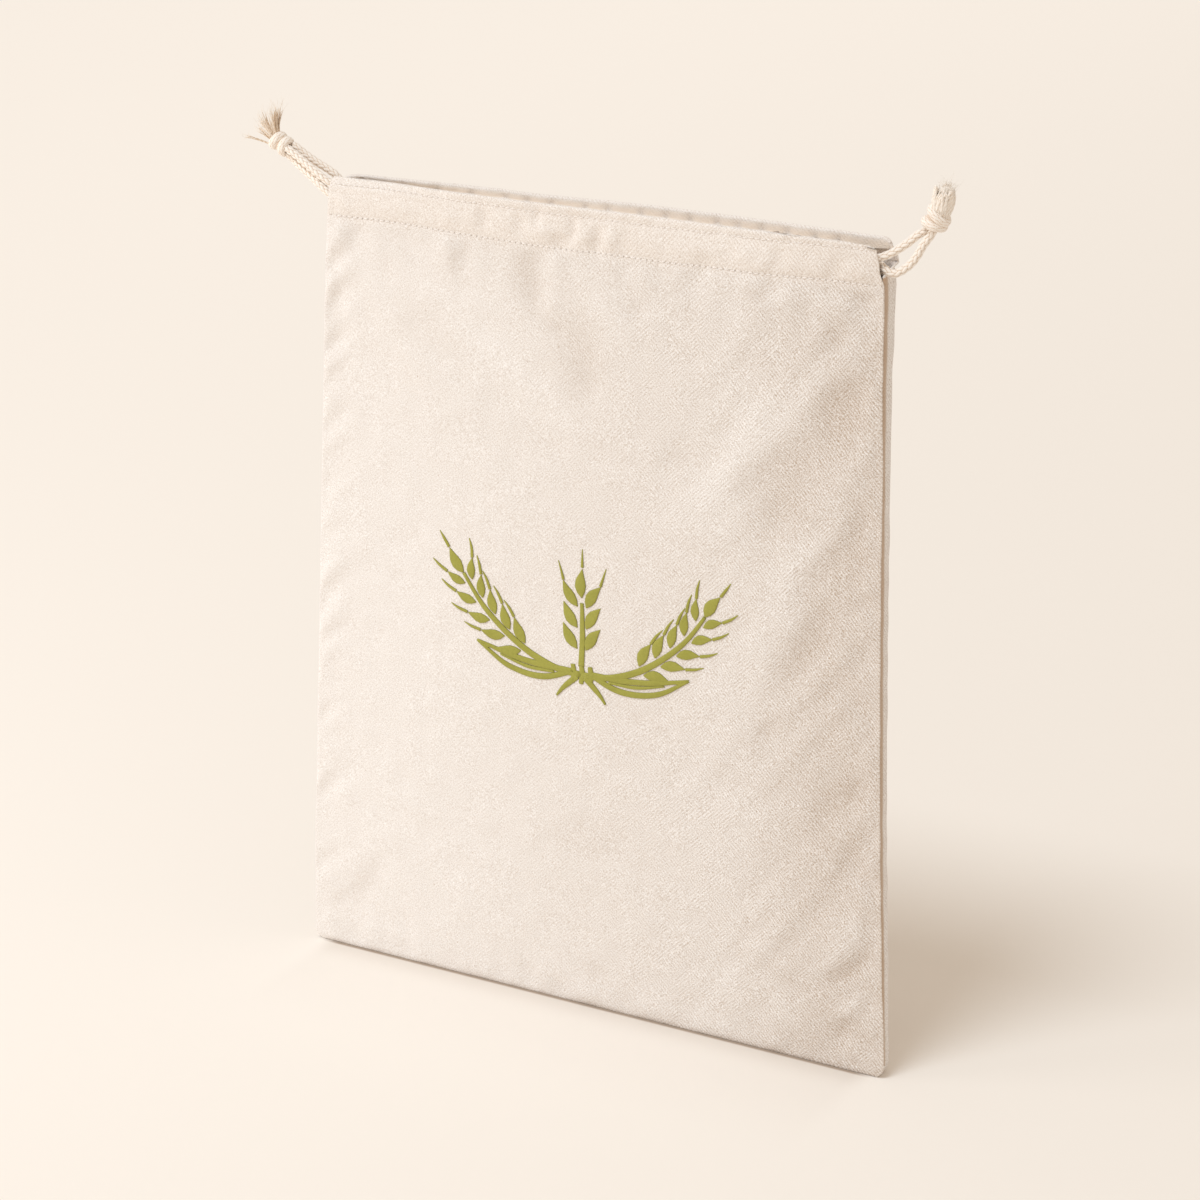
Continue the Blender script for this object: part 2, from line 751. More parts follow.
@dataclass(frozen=True)
class GroundFinish(Finish):
    """Matt pale paper: brighter to the left and in front, and deep brown right under the bag.

    Three shadows lie along the bag's front edge: a wide one, a soft one, and one where it touches.
    """
    near: Colour = colour(0.820, 0.765, 0.704)
    far: Colour = colour(0.942, 0.882, 0.816)
    umber: Colour = colour(0.250, 0.155, 0.085)
    edge: float = -11.4 * MM
    half_width: float = 147.0 * MM
    wide: float = 90.0 * MM
    soft: float = 26.0 * MM
    touching: float = 2.0 * MM

    def dress(self, shader: Shader) -> None:
        """Feed the paper's slow change from near to far, and the shadows under the bag.

        Args:
            shader: The new material's shader.
        """
        across, depth = shader.apart(shader.place())
        ahead = (across * 0.475 - depth * 0.88).between(-0.5, 0.5)
        paper = shader.blend((across * -1.0).between(-0.6, 1.4) * 0.80 + ahead * 0.12 + 0.06,
                             self.near, self.far)
        soft = depth.near(self.edge, self.soft)
        contact = soft * soft * 0.16 + depth.near(self.edge, self.wide) * 0.055
        contact = contact + depth.near(self.edge, self.touching) * 0.60
        contact = contact * across.near(0.0, 2 * self.half_width).between(0.50, 0.56)
        umber = shader.blend(contact, paper, self.umber)
        shader.finish(roughness=1.0, sheen=0.0, Base_Color=umber)


# ---------------------------------------------------------------- the bag's shape


class Level(NamedTuple):
    """The bag at one height, in mm: half-widths, and how far back its sides and middle lie.

    The table of levels lists these fields in this order.
    """
    z: float
    left: float
    right: float
    back_left: float
    back_right: float
    back_middle: float


class Fold(NamedTuple):
    """A soft ridge (positive height) or trough (negative) along a line on a panel, in mm.

    The tables of folds list these fields in this order.
    """
    x0: float
    z0: float
    x1: float
    z1: float
    half_width: float
    height: float


LEVELS = tuple(Level(*row) for row in (
    (0, 147.4, 147.4, -1.0, -1.0, 11.5), (1, 148.5, 148.5, -1.0, -1.0, 11.5),
    (4, 149.5, 149.5, -1.0, -1.0, 11.5), (50, 148.9, 147.3, -0.4, -0.4, 10.8),
    (105, 146.6, 144.3, 0.0, 0.0, 10.2), (180, 143.6, 141.2, 0.4, 0.4, 9.4),
    (250, 140.8, 139.0, 0.8, 1.0, 8.6), (310, 138.4, 137.1, 1.6, 2.2, 8.0),
    (345, 136.8, 136.3, 3.0, 4.2, 7.8), (357, 136.0, 136.0, 3.6, 5.4, 7.8),
    (368, 135.2, 134.8, 3.6, 5.6, 7.8), (376, 133.8, 132.8, 3.0, 4.6, 7.2),
))

FRONT_FOLDS = tuple(Fold(*row) for row in (
    (-33, 358, -29, 322, 7, -2.7), (-8, 331, -2, 286, 9.5, -2.4), (-27, 326, -12, 317, 4, -1.6),
    (-103, 324, -63, 299, 9, -1), (-119, 327, -109, 285, 5, -0.5), (35, 276, 45, 269, 8, -1),
    (19, 340, 20, 330, 5, -1), (40, 345, 44, 341, 6, -1.2), (74, 350, 88, 341, 5, -1),
    (113, 341, 115, 331, 5, -1.6), (79, 239, 105, 283, 9, -2), (108, 287, 131, 318, 9, -2.4),
    (97, 175, 114, 222, 9, -2.2), (117, 226, 135, 270, 8, -2.2), (88, 154, 94, 148, 7, -1.6),
    (112, 109, 140, 146, 7, -2.2), (119, 91, 141, 117, 4, -1.4), (121, 40, 145, 66, 4, -2.4),
    (126, 10, 141, 24, 5, -2), (-2, 93, 1, 70, 17, -1), (-137, 14, -110, 45, 6, -1.6),
    (-133, 347, -135, 269, 4, -1.2), (-64, 352, -63, 334, 5, -0.9), (-3, 8, 9, 20, 7, -1.4),
    (64, 8, 81, 10, 7, -1.2), (-64, 9, -61, 14, 5, -0.8), (-86, 331, -2, 271, 8, 0.9),
    (2, 342, 19, 314, 6, 1), (85, 341, 105, 351, 4, 1), (98, 355, 125, 345, 4, 1.5),
    (142, 83, 112, 39, 4, 2.2), (94, 32, 106, 12, 5, 1.2), (143, 40, 129, 23, 3, 1.8),
    (68, 29, 77, 21, 6, 0.8), (75, 106, 95, 116, 6, 0.8), (132, 347, 39, 232, 9.5, 2.3),
    (133, 290, 78, 170, 8.5, 2.5),
))

BENDING, BENDING_HEIGHT, BENDING_SEED = 46 * MM, 1.6 * MM, 77

# Height, and how far the front cloth stands out past the right seam there, in mm.
LIP = ((0, 1.2), (22, 1.2), (42, 0.5), (240, 0.4), (281, 0.9), (300, 0.4), (320, 0.3))

BACK_FOLDS = tuple(Fold(*row) for row in (
    (-118, 334, -50, 262, 15, -2.0), (112, 330, 56, 270, 15, -2.2), (12, 346, -4, 286, 13, -2.4),
    (-120, 190, -70, 130, 16, -1.8), (118, 176, 78, 118, 16, -1.8), (0, 150, 10, 80, 26, -1.4),
))

PUCKERS = tuple(Fold(*row) for row in (
    (-26.5, 376, -28, 362, 1.7, -0.9), (-11.4, 376, -13.6, 362, 1.7, -0.9),
    (-24, 367, -25, 358, 3.4, 0.5), (-9, 368, -9, 358, 3.2, 0.4), (-18, 366, -18, 357, 3, -1.0),
    (-35, 369, -36, 358, 3.4, -0.9), (1, 370, 1, 357, 3.2, -1.2), (9, 370, 9, 358, 3, 0.8),
    (17, 368, 17, 356, 3.2, -0.9), (-57, 373, -56, 362, 4, -1.0), (86, 374, 84, 362, 3.6, -0.9),
    (51, 368, 49, 356, 4, -0.7), (79, 370, 76, 358, 3, 0.7), (118, 370, 114, 358, 3, -0.6),
    (137, 226, 126, 210, 3.4, -0.7), (139, 168, 127, 152, 3.6, 0.6), (142, 104, 129, 92, 3.4, -0.6),
))


def folds_height(folds: tuple[Fold, ...], x: Array, z: Array) -> Array:
    """Add up folds: height times a bell of the distance to each fold's line.

    Along its line a fold is full in the middle and dies away to a fifth, and to two thirds of
    its width, at both ends. A soft ripple bends all lines a little.

    Args:
        folds: The folds of one panel.
        x: Place across.
        z: Place upwards.

    Returns:
        Their height out of the panel.
    """
    bent = ripple(x, z, BENDING, BENDING_SEED) * BENDING_HEIGHT
    x, z = x + bent, z - bent
    total = np.zeros_like(x)
    for fold in folds:
        run = np.array([fold.x1 - fold.x0, fold.z1 - fold.z0]) * MM
        dx, dz = x - fold.x0 * MM, z - fold.z0 * MM
        share = np.clip((dx * run[0] + dz * run[1]) / (run @ run), 0.0, 1.0)
        distance = np.hypot(dx - share * run[0], dz - share * run[1])
        full = 1 - np.abs(2 * share - 1) ** 2.2
        width = fold.half_width * MM * (0.75 + 0.45 * full)
        total += fold.height * MM * (0.2 + 0.8 * full) * bell(distance, width)
    return total


@dataclass(frozen=True)
class BagShape:
    """The bag's sizes, and its outer faces as functions of x and z."""
    height: float = 376 * MM
    front: float = -11.0 * MM
    cloth: float = 1.0 * MM
    seam_gap: float = 0.3 * MM
    tunnel: float = 4.3 * MM
    rim: float = 5.0 * MM
    heading: float = 18.5 * MM
    hem_drop: float = 21.2 * MM
    hem_half_width: float = 114.5 * MM
    slit: float = 363.0 * MM
    slit_turn: float = 3.2 * MM
    right_slit_inset: float = 1.5 * MM
    corner: float = 4.0 * MM
    floor_corner: float = 5.0 * MM
    right_corner: float = 4.5 * MM
    left_rim_lean: float = 2.4 * MM
    fullness: float = 2.4
    main_folds: float = 0.60
    seam_ease: float = 11.0 * MM
    heading_ease: float = 8.0 * MM
    floor_ease: tuple[float, float] = (4.0 * MM, 18.0 * MM)

    @property
    def upper_row(self) -> float:
        """Height of the upper row of stitches."""
        return self.height - self.rim

    @property
    def lower_row(self) -> float:
        """Height of the lower row of stitches."""
        return self.height - self.heading

    @property
    def pinched(self) -> float:
        """From the outer face to the hem's face where the two are sewn together."""
        return 2 * self.cloth + self.seam_gap

    def level(self, column: str, z: Array) -> Array:
        """Read one column of the levels at any height, in straight steps."""
        heights = [row.z * MM for row in LEVELS]
        return np.interp(z, heights, [getattr(row, column) * MM for row in LEVELS])

    def lip(self, z: Array) -> Array:
        """How far the front cloth stands out at the right seam, by height."""
        heights, out = np.array(LIP).T * MM
        return np.interp(z, heights, out)

    def half_width(self, x: Array, z: Array) -> Array:
        """Half-width on the side that x lies on."""
        return np.where(x < 0, self.level("left", z), self.level("right", z))

    def from_seam(self, x: Array, z: Array) -> Array:
        """Distance inwards from the nearer side seam."""
        return self.half_width(x, z) - np.abs(x)

    def row_line(self, base: float, x: Array) -> Array:
        """Height of a row of stitches: its base, a slow wave, and a rise towards both ends.

        The upper row lies a little above its base, and the lower one below it. Both rise most at
        the right.

        Args:
            base: Height that the row keeps to.
            x: Place across.

        Returns:
            The height at each place.
        """
        high = base > (self.lower_row + self.height) / 2
        offset, left, right = (0.8, 0.6, 2.1) if high else (-0.6, 1.2, 2.5)
        wave = 0.22 * np.sin(x / (21 * MM)) + 0.12 * np.sin(x / (8.3 * MM) + 1.0)
        rise = left * smoothstep(30 * MM, 110 * MM, -x) + right * smoothstep(30 * MM, 140 * MM, x)
        return base + (offset + wave + rise) * MM

    def stray(self, x: Array, z: Array) -> Array:
        """How far the rows of stitches stray from their bases, blended from one to the other."""
        share = np.clip((z - self.lower_row) / (self.upper_row - self.lower_row), 0.0, 1.0)
        low = self.row_line(self.lower_row, x) - self.lower_row
        high = self.row_line(self.upper_row, x) - self.upper_row
        return low + (high - low) * share

    def shoulder(self, x: Array, z: Array, left: float, sag: float) -> Array:
        """How far the rim drops: a quarter ellipse's fall at its end corners, and a slow sag.

        Args:
            x: Place across.
            z: Place upwards.
            left: Width of the left corner, which falls by 0.34 of it.
            sag: Fall of the rim's left half.

        Returns:
            The drop, which begins at the upper row of stitches.
        """
        wide = np.where(x < 0, left, self.right_corner)
        fall = wide * np.where(x < 0, 0.34, 0.8)
        out = np.clip((wide - self.from_seam(x, z)) / wide, 0.0, 1.0)
        drop = fall * (1 - np.sqrt(1 - out**2)) + sag * smoothstep(-30 * MM, 45 * MM, -x)
        return drop * smoothstep(self.upper_row - 1 * MM, self.height, z)

    def fade(self, x: Array, z: Array) -> Array:
        """Hold the cloth flat at its seams and in the heading."""
        sides = smoothstep(0.0, self.seam_ease, self.from_seam(x, z))
        heading = smoothstep(0.0, self.heading_ease, self.lower_row - z)
        return sides * smoothstep(*self.floor_ease, z) * heading

    def rim_lean(self, x: Array, z: Array) -> Array:
        """How far the rim above the upper stitches leans inwards near the left end."""
        share = smoothstep(60 * MM, 120 * MM, -x) * smoothstep(self.upper_row, self.height, z)
        return self.left_rim_lean * share

    def front_y(self, x: Array, z: Array) -> Array:
        """Outer face of the front panel, with its main folds."""
        folds = self.main_folds * folds_height(FRONT_FOLDS, x, z) * self.fade(x, z)
        return self.front - folds + self.rim_lean(x, z)

    def back_y(self, x: Array, z: Array) -> Array:
        """Outer face of the back panel, fullest in the middle of the bag."""
        share = np.maximum(0.0, 1 - (np.abs(x) / self.half_width(x, z)) ** self.fullness)
        side = np.where(x < 0, self.level("back_left", z), self.level("back_right", z))
        plain = side + (self.level("back_middle", z) - side) * share
        return plain + folds_height(BACK_FOLDS, x, z) * self.fade(x, z) - self.rim_lean(x, z)


class HeadingPath(NamedTuple):
    """A panel's way up, over its top fold and down its hem, as whole columns."""
    z: Array
    inset: Array
    length: Array


def heading_path(shape: BagShape, top: float, start: Array) -> HeadingPath:
    """Continue a panel's rows from the lower stitches over the top fold and down the hem.

    The hem lies one pinch behind the cloth at the rows of stitches, and off it by the tunnel
    between them, with a smooth slope at each row.

    Args:
        shape: The bag.
        top: Height of the top fold.
        start: Heights of the rows below the lower stitches.

    Returns:
        The path, with the length of cloth from the bottom edge up.
    """
    radius = shape.pinched / 2
    upper = top - shape.rim
    rise = np.linspace(shape.lower_row, top - radius, 27)
    turn = np.linspace(0.0, math.pi, 9)[1:]
    fall = np.linspace(top - radius, shape.height - shape.hem_drop, 23)[1:]
    slope = 3.0 * MM
    opened = smoothstep(0.0, slope, upper - fall) * smoothstep(0.0, slope, fall - shape.lower_row)
    z = np.concatenate([start, rise, top - radius + radius * np.sin(turn), fall])
    inset = np.concatenate([np.zeros(len(start) + len(rise)), radius * (1 - np.cos(turn)),
                            shape.pinched + shape.tunnel * opened])
    step = np.hypot(np.diff(z), np.diff(inset))
    return HeadingPath(z, inset, np.concatenate([[0.0], np.cumsum(step)]) + z[0])


@dataclass
class Panel:
    """What the two panels share: their grids' sizes and the small relief of sewn cloth."""
    shape: BagShape
    thickness: float = 0.9 * MM
    columns: int = 187
    body_step: float = 2.3 * MM
    ripple_long: float = 0.16 * MM
    ripple_short: float = 0.10 * MM
    ripple_slanted: float = 0.22 * MM
    ripple_rim: float = 0.16 * MM
    gather: float = 0.34 * MM
    swell: float = 0.55 * MM
    pinch: float = 0.30 * MM
    long_wave: float = 62.0 * MM
    short_wave: float = 17.0 * MM
    gather_wave: float = 15.0 * MM
    tunnel_wave: float = 12.0 * MM
    rim_wave: float = 9.0 * MM
    hem_wave: float = 13.0 * MM
    hem_height: float = 0.25 * MM
    left_corner: float = 1.2 * MM
    sag: float = 0.5 * MM
    seed: int = 11

    def turned_in(self, inset: Array) -> Array:
        """0 on the way up, rising to 1 where the cloth has turned in over the top fold."""
        return smoothstep(0.3 * self.shape.cloth, 1.1 * self.shape.cloth, inset)

    def outside(self, inset: Array) -> Array:
        """1 on the outer face, falling to 0 on the hem."""
        return 1 - smoothstep(0.0, 0.6 * self.shape.pinched, inset)

    def hem_relief(self, x: Array, z: Array) -> Array:
        """Relief of the hem: waves that run up and down."""
        return ripple(x, z * 0.2, self.hem_wave, self.seed + 8) * self.hem_height

    def sewn(self, name: str, face: Array, flat: Array, tone: Array, hidden_tone: float,
             shade: Array, material: Material) -> Piece:
        """Give a face its thickness and put it into an object.

        Args:
            name: Name of the piece.
            face: Points of the outer face, in rows and columns.
            flat: Place of each point on the flat cloth.
            tone: Worn (positive) and dark (negative) places of the face.
            hidden_tone: The tone of the second face.
            shade: Depth of the cloth's own colour.
            material: The linen.

        Returns:
            The piece.
        """
        points, quads, source, hidden = cloth_shell(face, self.thickness)
        both = tone.ravel()[source] * (1 - hidden) + hidden_tone * hidden
        return mesh_object(name, Patch(points, quads, both), material,
                           flat.reshape(-1, 2)[source], shade.ravel()[source])

    def body_rows(self, low: float) -> Array:
        """Heights of the rows below the heading, from low up."""
        high = self.shape.lower_row
        count = int((high - low) / self.body_step)
        return np.linspace(low, high, count, endpoint=False)

    def relief(self, x: Array, z: Array) -> Array:
        """Small outward relief of the body.

        It adds long and short ripples, slanted ones at the right, and gathers along the seams,
        the floor and the heading: ripples along the edge that die away inwards.

        Args:
            x: Place across.
            z: Place upwards.

        Returns:
            The relief.
        """
        s = self.shape
        side = s.from_seam(x, z)
        long = ripple(x, z, self.long_wave, self.seed) * self.ripple_long
        short = ripple(x, z, self.short_wave, self.seed + 1) * self.ripple_short
        seam = ripple(z + np.abs(x) * 0.8, x * 0.25, self.gather_wave, self.seed + 2) * self.gather
        along = seam * bell(side - 4 * MM, 11 * MM) * smoothstep(0, 3 * MM, side)
        floor = ripple(x, z * 0.2, self.short_wave, self.seed + 3) * self.gather
        floor = floor * bell(z - 5 * MM, 10 * MM)
        calm = smoothstep(0.0, 6 * MM, side) * smoothstep(0.0, 5 * MM, z)
        hung = ripple(x, z * 0.22, self.gather_wave, self.seed + 4) * self.gather
        below = hung * bell(s.lower_row - z, 17 * MM)
        aside, uphill = 0.78 * x - 0.63 * z, 0.63 * x + 0.78 * z
        slant = ripple(aside, 0.2 * uphill, self.short_wave, self.seed + 9) * self.ripple_slanted
        slant = slant * smoothstep(20 * MM, 110 * MM, x)
        body = (long + short + slant + floor + below) * calm + along * smoothstep(0, 5 * MM, z)
        return body * smoothstep(-0.5 * MM, 5 * MM, s.lower_row - z)

    def heading_relief(self, x: Array, z: Array, top: float) -> Array:
        """Outward relief of the heading.

        The tunnel swells between its two rows, each row pinches the cloth, and gathers run up and
        down between them.

        Args:
            x: Place across.
            z: Place upwards.
            top: Height of the top fold.

        Returns:
            The relief.
        """
        s = self.shape
        upper = top - s.rim
        middle = (upper + s.lower_row) / 2
        span = (upper - s.lower_row) / 2
        inside = smoothstep(0.0, 1.0, 1 - np.abs(z - middle) / span)
        swell = self.swell * inside
        rows = bell(z - s.row_line(upper, x), 1.1 * MM)
        rows = rows + bell(z - s.row_line(s.lower_row, x), 1.3 * MM)
        gathers = ripple(x, z * 0.15, self.tunnel_wave, self.seed + 5) * self.gather * 0.75 * inside
        rim = ripple(x, z * 0.1, self.rim_wave, self.seed + 6) * self.ripple_rim
        rim = rim * smoothstep(upper, top, z)
        ends = smoothstep(0.0, 10 * MM, s.from_seam(x, z))
        return (swell + gathers + rim) * ends - self.pinch * rows


@dataclass
class FrontPanel(Panel):
    """The front cloth: one flat panel, up to the top fold and down its hem."""
    corner_height: float = 4.5 * MM
    corner_width: float = 2.4 * MM
    worn_edge: float = 0.7 * MM

    def face(self, x: Array, z: Array) -> Array:
        """Outer face of the cloth with all its relief, as y."""
        s = self.shape
        fine = folds_height(PUCKERS, x, z) * smoothstep(0, 6 * MM, s.from_seam(x, z))
        fine = fine * smoothstep(0.0, 4 * MM, z)
        relief = self.relief(x, z) + self.heading_relief(x, z, s.height) + fine
        return s.front_y(x, z) - relief

    def shade(self, x: Array, z: Array) -> Array:
        """How deep the cloth's colour is, from 0 to 1.

        It deepens slowly from left to right, most near the right seam below the heading, and in
        the troughs of the folds. Near the left seam it deepens a little towards the top.

        Args:
            x: Place across.
            z: Place upwards.

        Returns:
            The depth.
        """
        s = self.shape
        slow = 0.30 * smoothstep(-130 * MM, 60 * MM, x) + 0.50 * smoothstep(60 * MM, 128 * MM, x)
        heading = smoothstep(s.lower_row - 30 * MM, s.height, z)
        slow = slow * (1 - 0.5 * heading) + 0.16 * heading * smoothstep(-60 * MM, 20 * MM, -x)
        left = smoothstep(180 * MM, 320 * MM, z) * (x < 0) * smoothstep(20 * MM, 110 * MM, -x)
        slow = slow + 0.05 * heading + 0.07 * left
        troughs = folds_height(FRONT_FOLDS, x, z) * s.fade(x, z) + folds_height(PUCKERS, x, z)
        return np.clip(slow - 0.12 * troughs / MM, -0.4, 1.2)

    def build(self, material: Material) -> Piece:
        """Lay the grid: x goes across, rows go up, over the fold and down the hem.

        The lower corners are quarter ellipses, and the bottom edge rolls in by a square.

        Args:
            material: The front linen.

        Returns:
            The front cloth.
        """
        s = self.shape
        path = heading_path(s, s.height, self.body_rows(0.5 * s.cloth))
        z = path.z[:, None] + np.zeros(self.columns)
        across = np.linspace(-1.0, 1.0, self.columns)[None, :]
        inset = path.inset[:, None]
        turned, outside = self.turned_in(inset), self.outside(inset)
        half = s.half_width(across, z) - s.cloth / 2
        drawn_in = s.right_slit_inset * smoothstep(s.lower_row + 1 * MM, s.lower_row + 8 * MM, z)
        half = half + np.where(across > 0, s.lip(z) * (1 - turned) - drawn_in, 0.0)
        half = half + (s.hem_half_width - half) * turned
        low = np.clip(1 - z / self.corner_height, 0.0, 1.0)
        half = half - self.corner_width * (1 - np.sqrt(1 - low**2))
        x = across * half
        y = s.front_y(x, z) + inset + (self.face(x, z) - s.front_y(x, z)) * outside
        hem = self.hem_relief(x, z) * (1 - outside)
        roll = 0.5 * MM * np.clip(1 - z / (2 * MM), 0.0, 1.0) ** 2
        face = np.stack([x, y + hem + roll, z - s.shoulder(x, z, self.left_corner, self.sag)], -1)
        flat = np.stack([x, path.length[:, None] - s.stray(x, z)], -1)
        seam = bell(np.maximum(half - np.abs(x), 0.0), self.worn_edge) * (across > 0)
        shade = self.shade(x, z) * (1 - smoothstep(0.5 * s.pinched, s.pinched, inset))
        return self.sewn("front_cloth", face, flat, 0.12 * seam * outside, -0.45, shade, material)


class Cells(NamedTuple):
    """Each point of the back panel's grid.

    How many cells it lies beside and below the core, its row of the path, its place across from 1
    to -1, its side as the sign of x, its share of the wall, and its angle in a bottom corner.
    """
    beside: Array
    below: Array
    line: Array
    across: Array
    side: Array
    step: Array
    turn: Array


@dataclass
class BackPanel(Panel):
    """The back cloth: a shallow tray whose sides and bottom wrap forward to the seam."""
    seed: int = 31
    hem_wave: float = 11.0 * MM
    hem_height: float = 0.24 * MM
    left_corner: float = 10.0 * MM
    sag: float = 1.4 * MM
    wall_steps: int = 14
    wall_wave: float = 21.0 * MM
    puff: float = 0.14 * MM
    floor_run: float = 12.0 * MM
    dent: float = 0.65 * MM
    dent_width: float = 1.9 * MM
    dent_height: float = 1.8 * MM
    mark_height: float = 3.0 * MM
    above_row: float = 0.8 * MM
    dents: tuple[float, ...] = (-121, -104, -87, -70, -53, -42, -30, -13, -2, 14, 26, 38, 51, 61,
                                72, 84, 97, 108)

    def wall(self, step: Array, depth: Array) -> tuple[Array, Array]:
        """Section of a wrapped edge, from the back face round its corner to the seam.

        A quarter circle of the corner's radius, then straight on.

        Args:
            step: Share of the way, 0 at the back face and 1 at the seam.
            depth: How far forward the seam lies.

        Returns:
            The distance outwards and the distance forwards.
        """
        corner = self.shape.corner
        arc = math.pi / 2 * corner
        run = step * (arc + np.maximum(depth - corner, 0.0))
        angle = np.minimum(run, arc) / corner
        return corner * np.sin(angle), corner * (1 - np.cos(angle)) + np.maximum(run - arc, 0.0)

    def cells(self, rows: int) -> Cells:
        """Number the grid: a core, and wall cells outside it on three sides.

        A wall cell's distance from the core, as a share of the wall's cells, is its place round
        the wrapped edge. In the bottom corners the cells turn through a quarter circle, by equal
        shares from the side to the bottom.

        Args:
            rows: Rows of the core.

        Returns:
            The numbers and shares of every point.
        """
        wall = self.wall_steps
        column = (np.arange(self.columns + 1 + 2 * wall) - wall)[None, :]
        line = (np.arange(rows + wall) - wall)[:, None]
        beside = np.maximum(np.maximum(-column, column - self.columns), 0)
        below = np.maximum(-line, 0)
        low, high = np.minimum(beside, below), np.maximum(np.maximum(beside, below), 1)
        turn = np.where(beside <= below, low / high / 2, 1 - low / high / 2) * math.pi / 2
        return Cells(beside, below, np.maximum(line, 0),
                     1 - 2 * np.clip(column / self.columns, 0.0, 1.0),
                     np.where(column < self.columns / 2, 1.0, -1.0),
                     np.maximum(beside, below) / wall,
                     np.where((below > 0) | (beside > 0), turn, 0.0))

    def build(self, material: Material) -> Piece:
        """Lay the grid and wrap its walls. Above the slits the side cells lie flat.

        The hem is dented behind the upper stitches and pale from wear, but for the dents.

        Args:
            material: The back linen.

        Returns:
            The back cloth.
        """
        s = self.shape
        top = s.height + s.cloth
        upper = top - s.rim
        path = heading_path(s, top, self.body_rows(s.floor_corner))
        beside, below, line, across, side, step, turn = self.cells(len(path.z))
        z, inset = (column[line] + 0 * across for column in (path.z, path.inset))
        turned, outside = self.turned_in(inset), self.outside(inset)
        outer = s.half_width(side, z)
        end = outer - np.where(side < 0, 2.0, 0.8) * MM
        above = smoothstep(s.upper_row - 0.5 * MM, s.upper_row + 1.5 * MM, z)
        hem_half = s.hem_half_width + (end - s.hem_half_width) * above
        half = outer + (hem_half - outer) * turned
        core_x = across * (half - s.corner)
        seam = s.front + s.cloth + s.seam_gap + self.thickness / 2
        back = s.back_y(core_x, z)
        outward, forward = self.wall(step, back - seam)
        flat = np.where(inset > 0, 1.0, smoothstep(s.slit, s.slit + s.slit_turn, z))
        sideways = np.where(beside > 0, side * outward * np.sin(turn), 0.0)
        x = core_x + sideways + flat * side * (step * s.corner - outward) * (below == 0)
        drop = np.where(below > 0, outward / s.corner * s.floor_corner * np.cos(turn), 0.0)
        relief = (self.relief(x, z) + self.heading_relief(x, z, top)) * outside
        relief = relief * (1 - np.minimum(step * 2, 1.0)) * smoothstep(0, 4 * MM, z - s.floor_corner)
        puff = ripple(z + 0 * x, forward, self.wall_wave, self.seed + 9) * self.puff
        puff = puff * np.sin(math.pi * step) * (below == 0) * smoothstep(0, 4 * MM, s.lower_row - z)
        x = x + side * puff
        ticks = sum(bell(x - centre * MM, self.dent_width) for centre in self.dents)
        from_dents = z - upper - self.above_row
        dent = self.dent * ticks * bell(from_dents, self.dent_height) * (1 - outside)
        waves = self.hem_relief(x, z) * (1 - outside)
        y = back - forward * (1 - flat) - inset + relief + dent + waves
        face = np.stack([x, y, z - drop - s.shoulder(x, z, self.left_corner, self.sag)], -1)
        length = path.length[line] + np.where(below > 0, -step * self.floor_run, 0.0) - s.stray(x, z)
        marks = ticks * bell(from_dents, self.mark_height)
        shade = 0.10 * outside + (1 - outside) * (0.75 * marks - 0.45)
        shade = shade + 0.20 * bell(z - top, 1.3 * MM)
        groove = -0.75 * smoothstep(0.76, 0.84, step) * (below == 0) * (z < s.slit)
        under = 1 - 1.15 * bell(z - top, 2.2 * MM)
        worn = 0.80 * (1 - outside) * (1 - np.minimum(marks, 1.0)) * under
        return self.sewn("back_cloth", face, np.stack([x - side * forward, length], -1),
                         groove + worn, -0.20, shade, material)


# ---------------------------------------------------------------- stitches


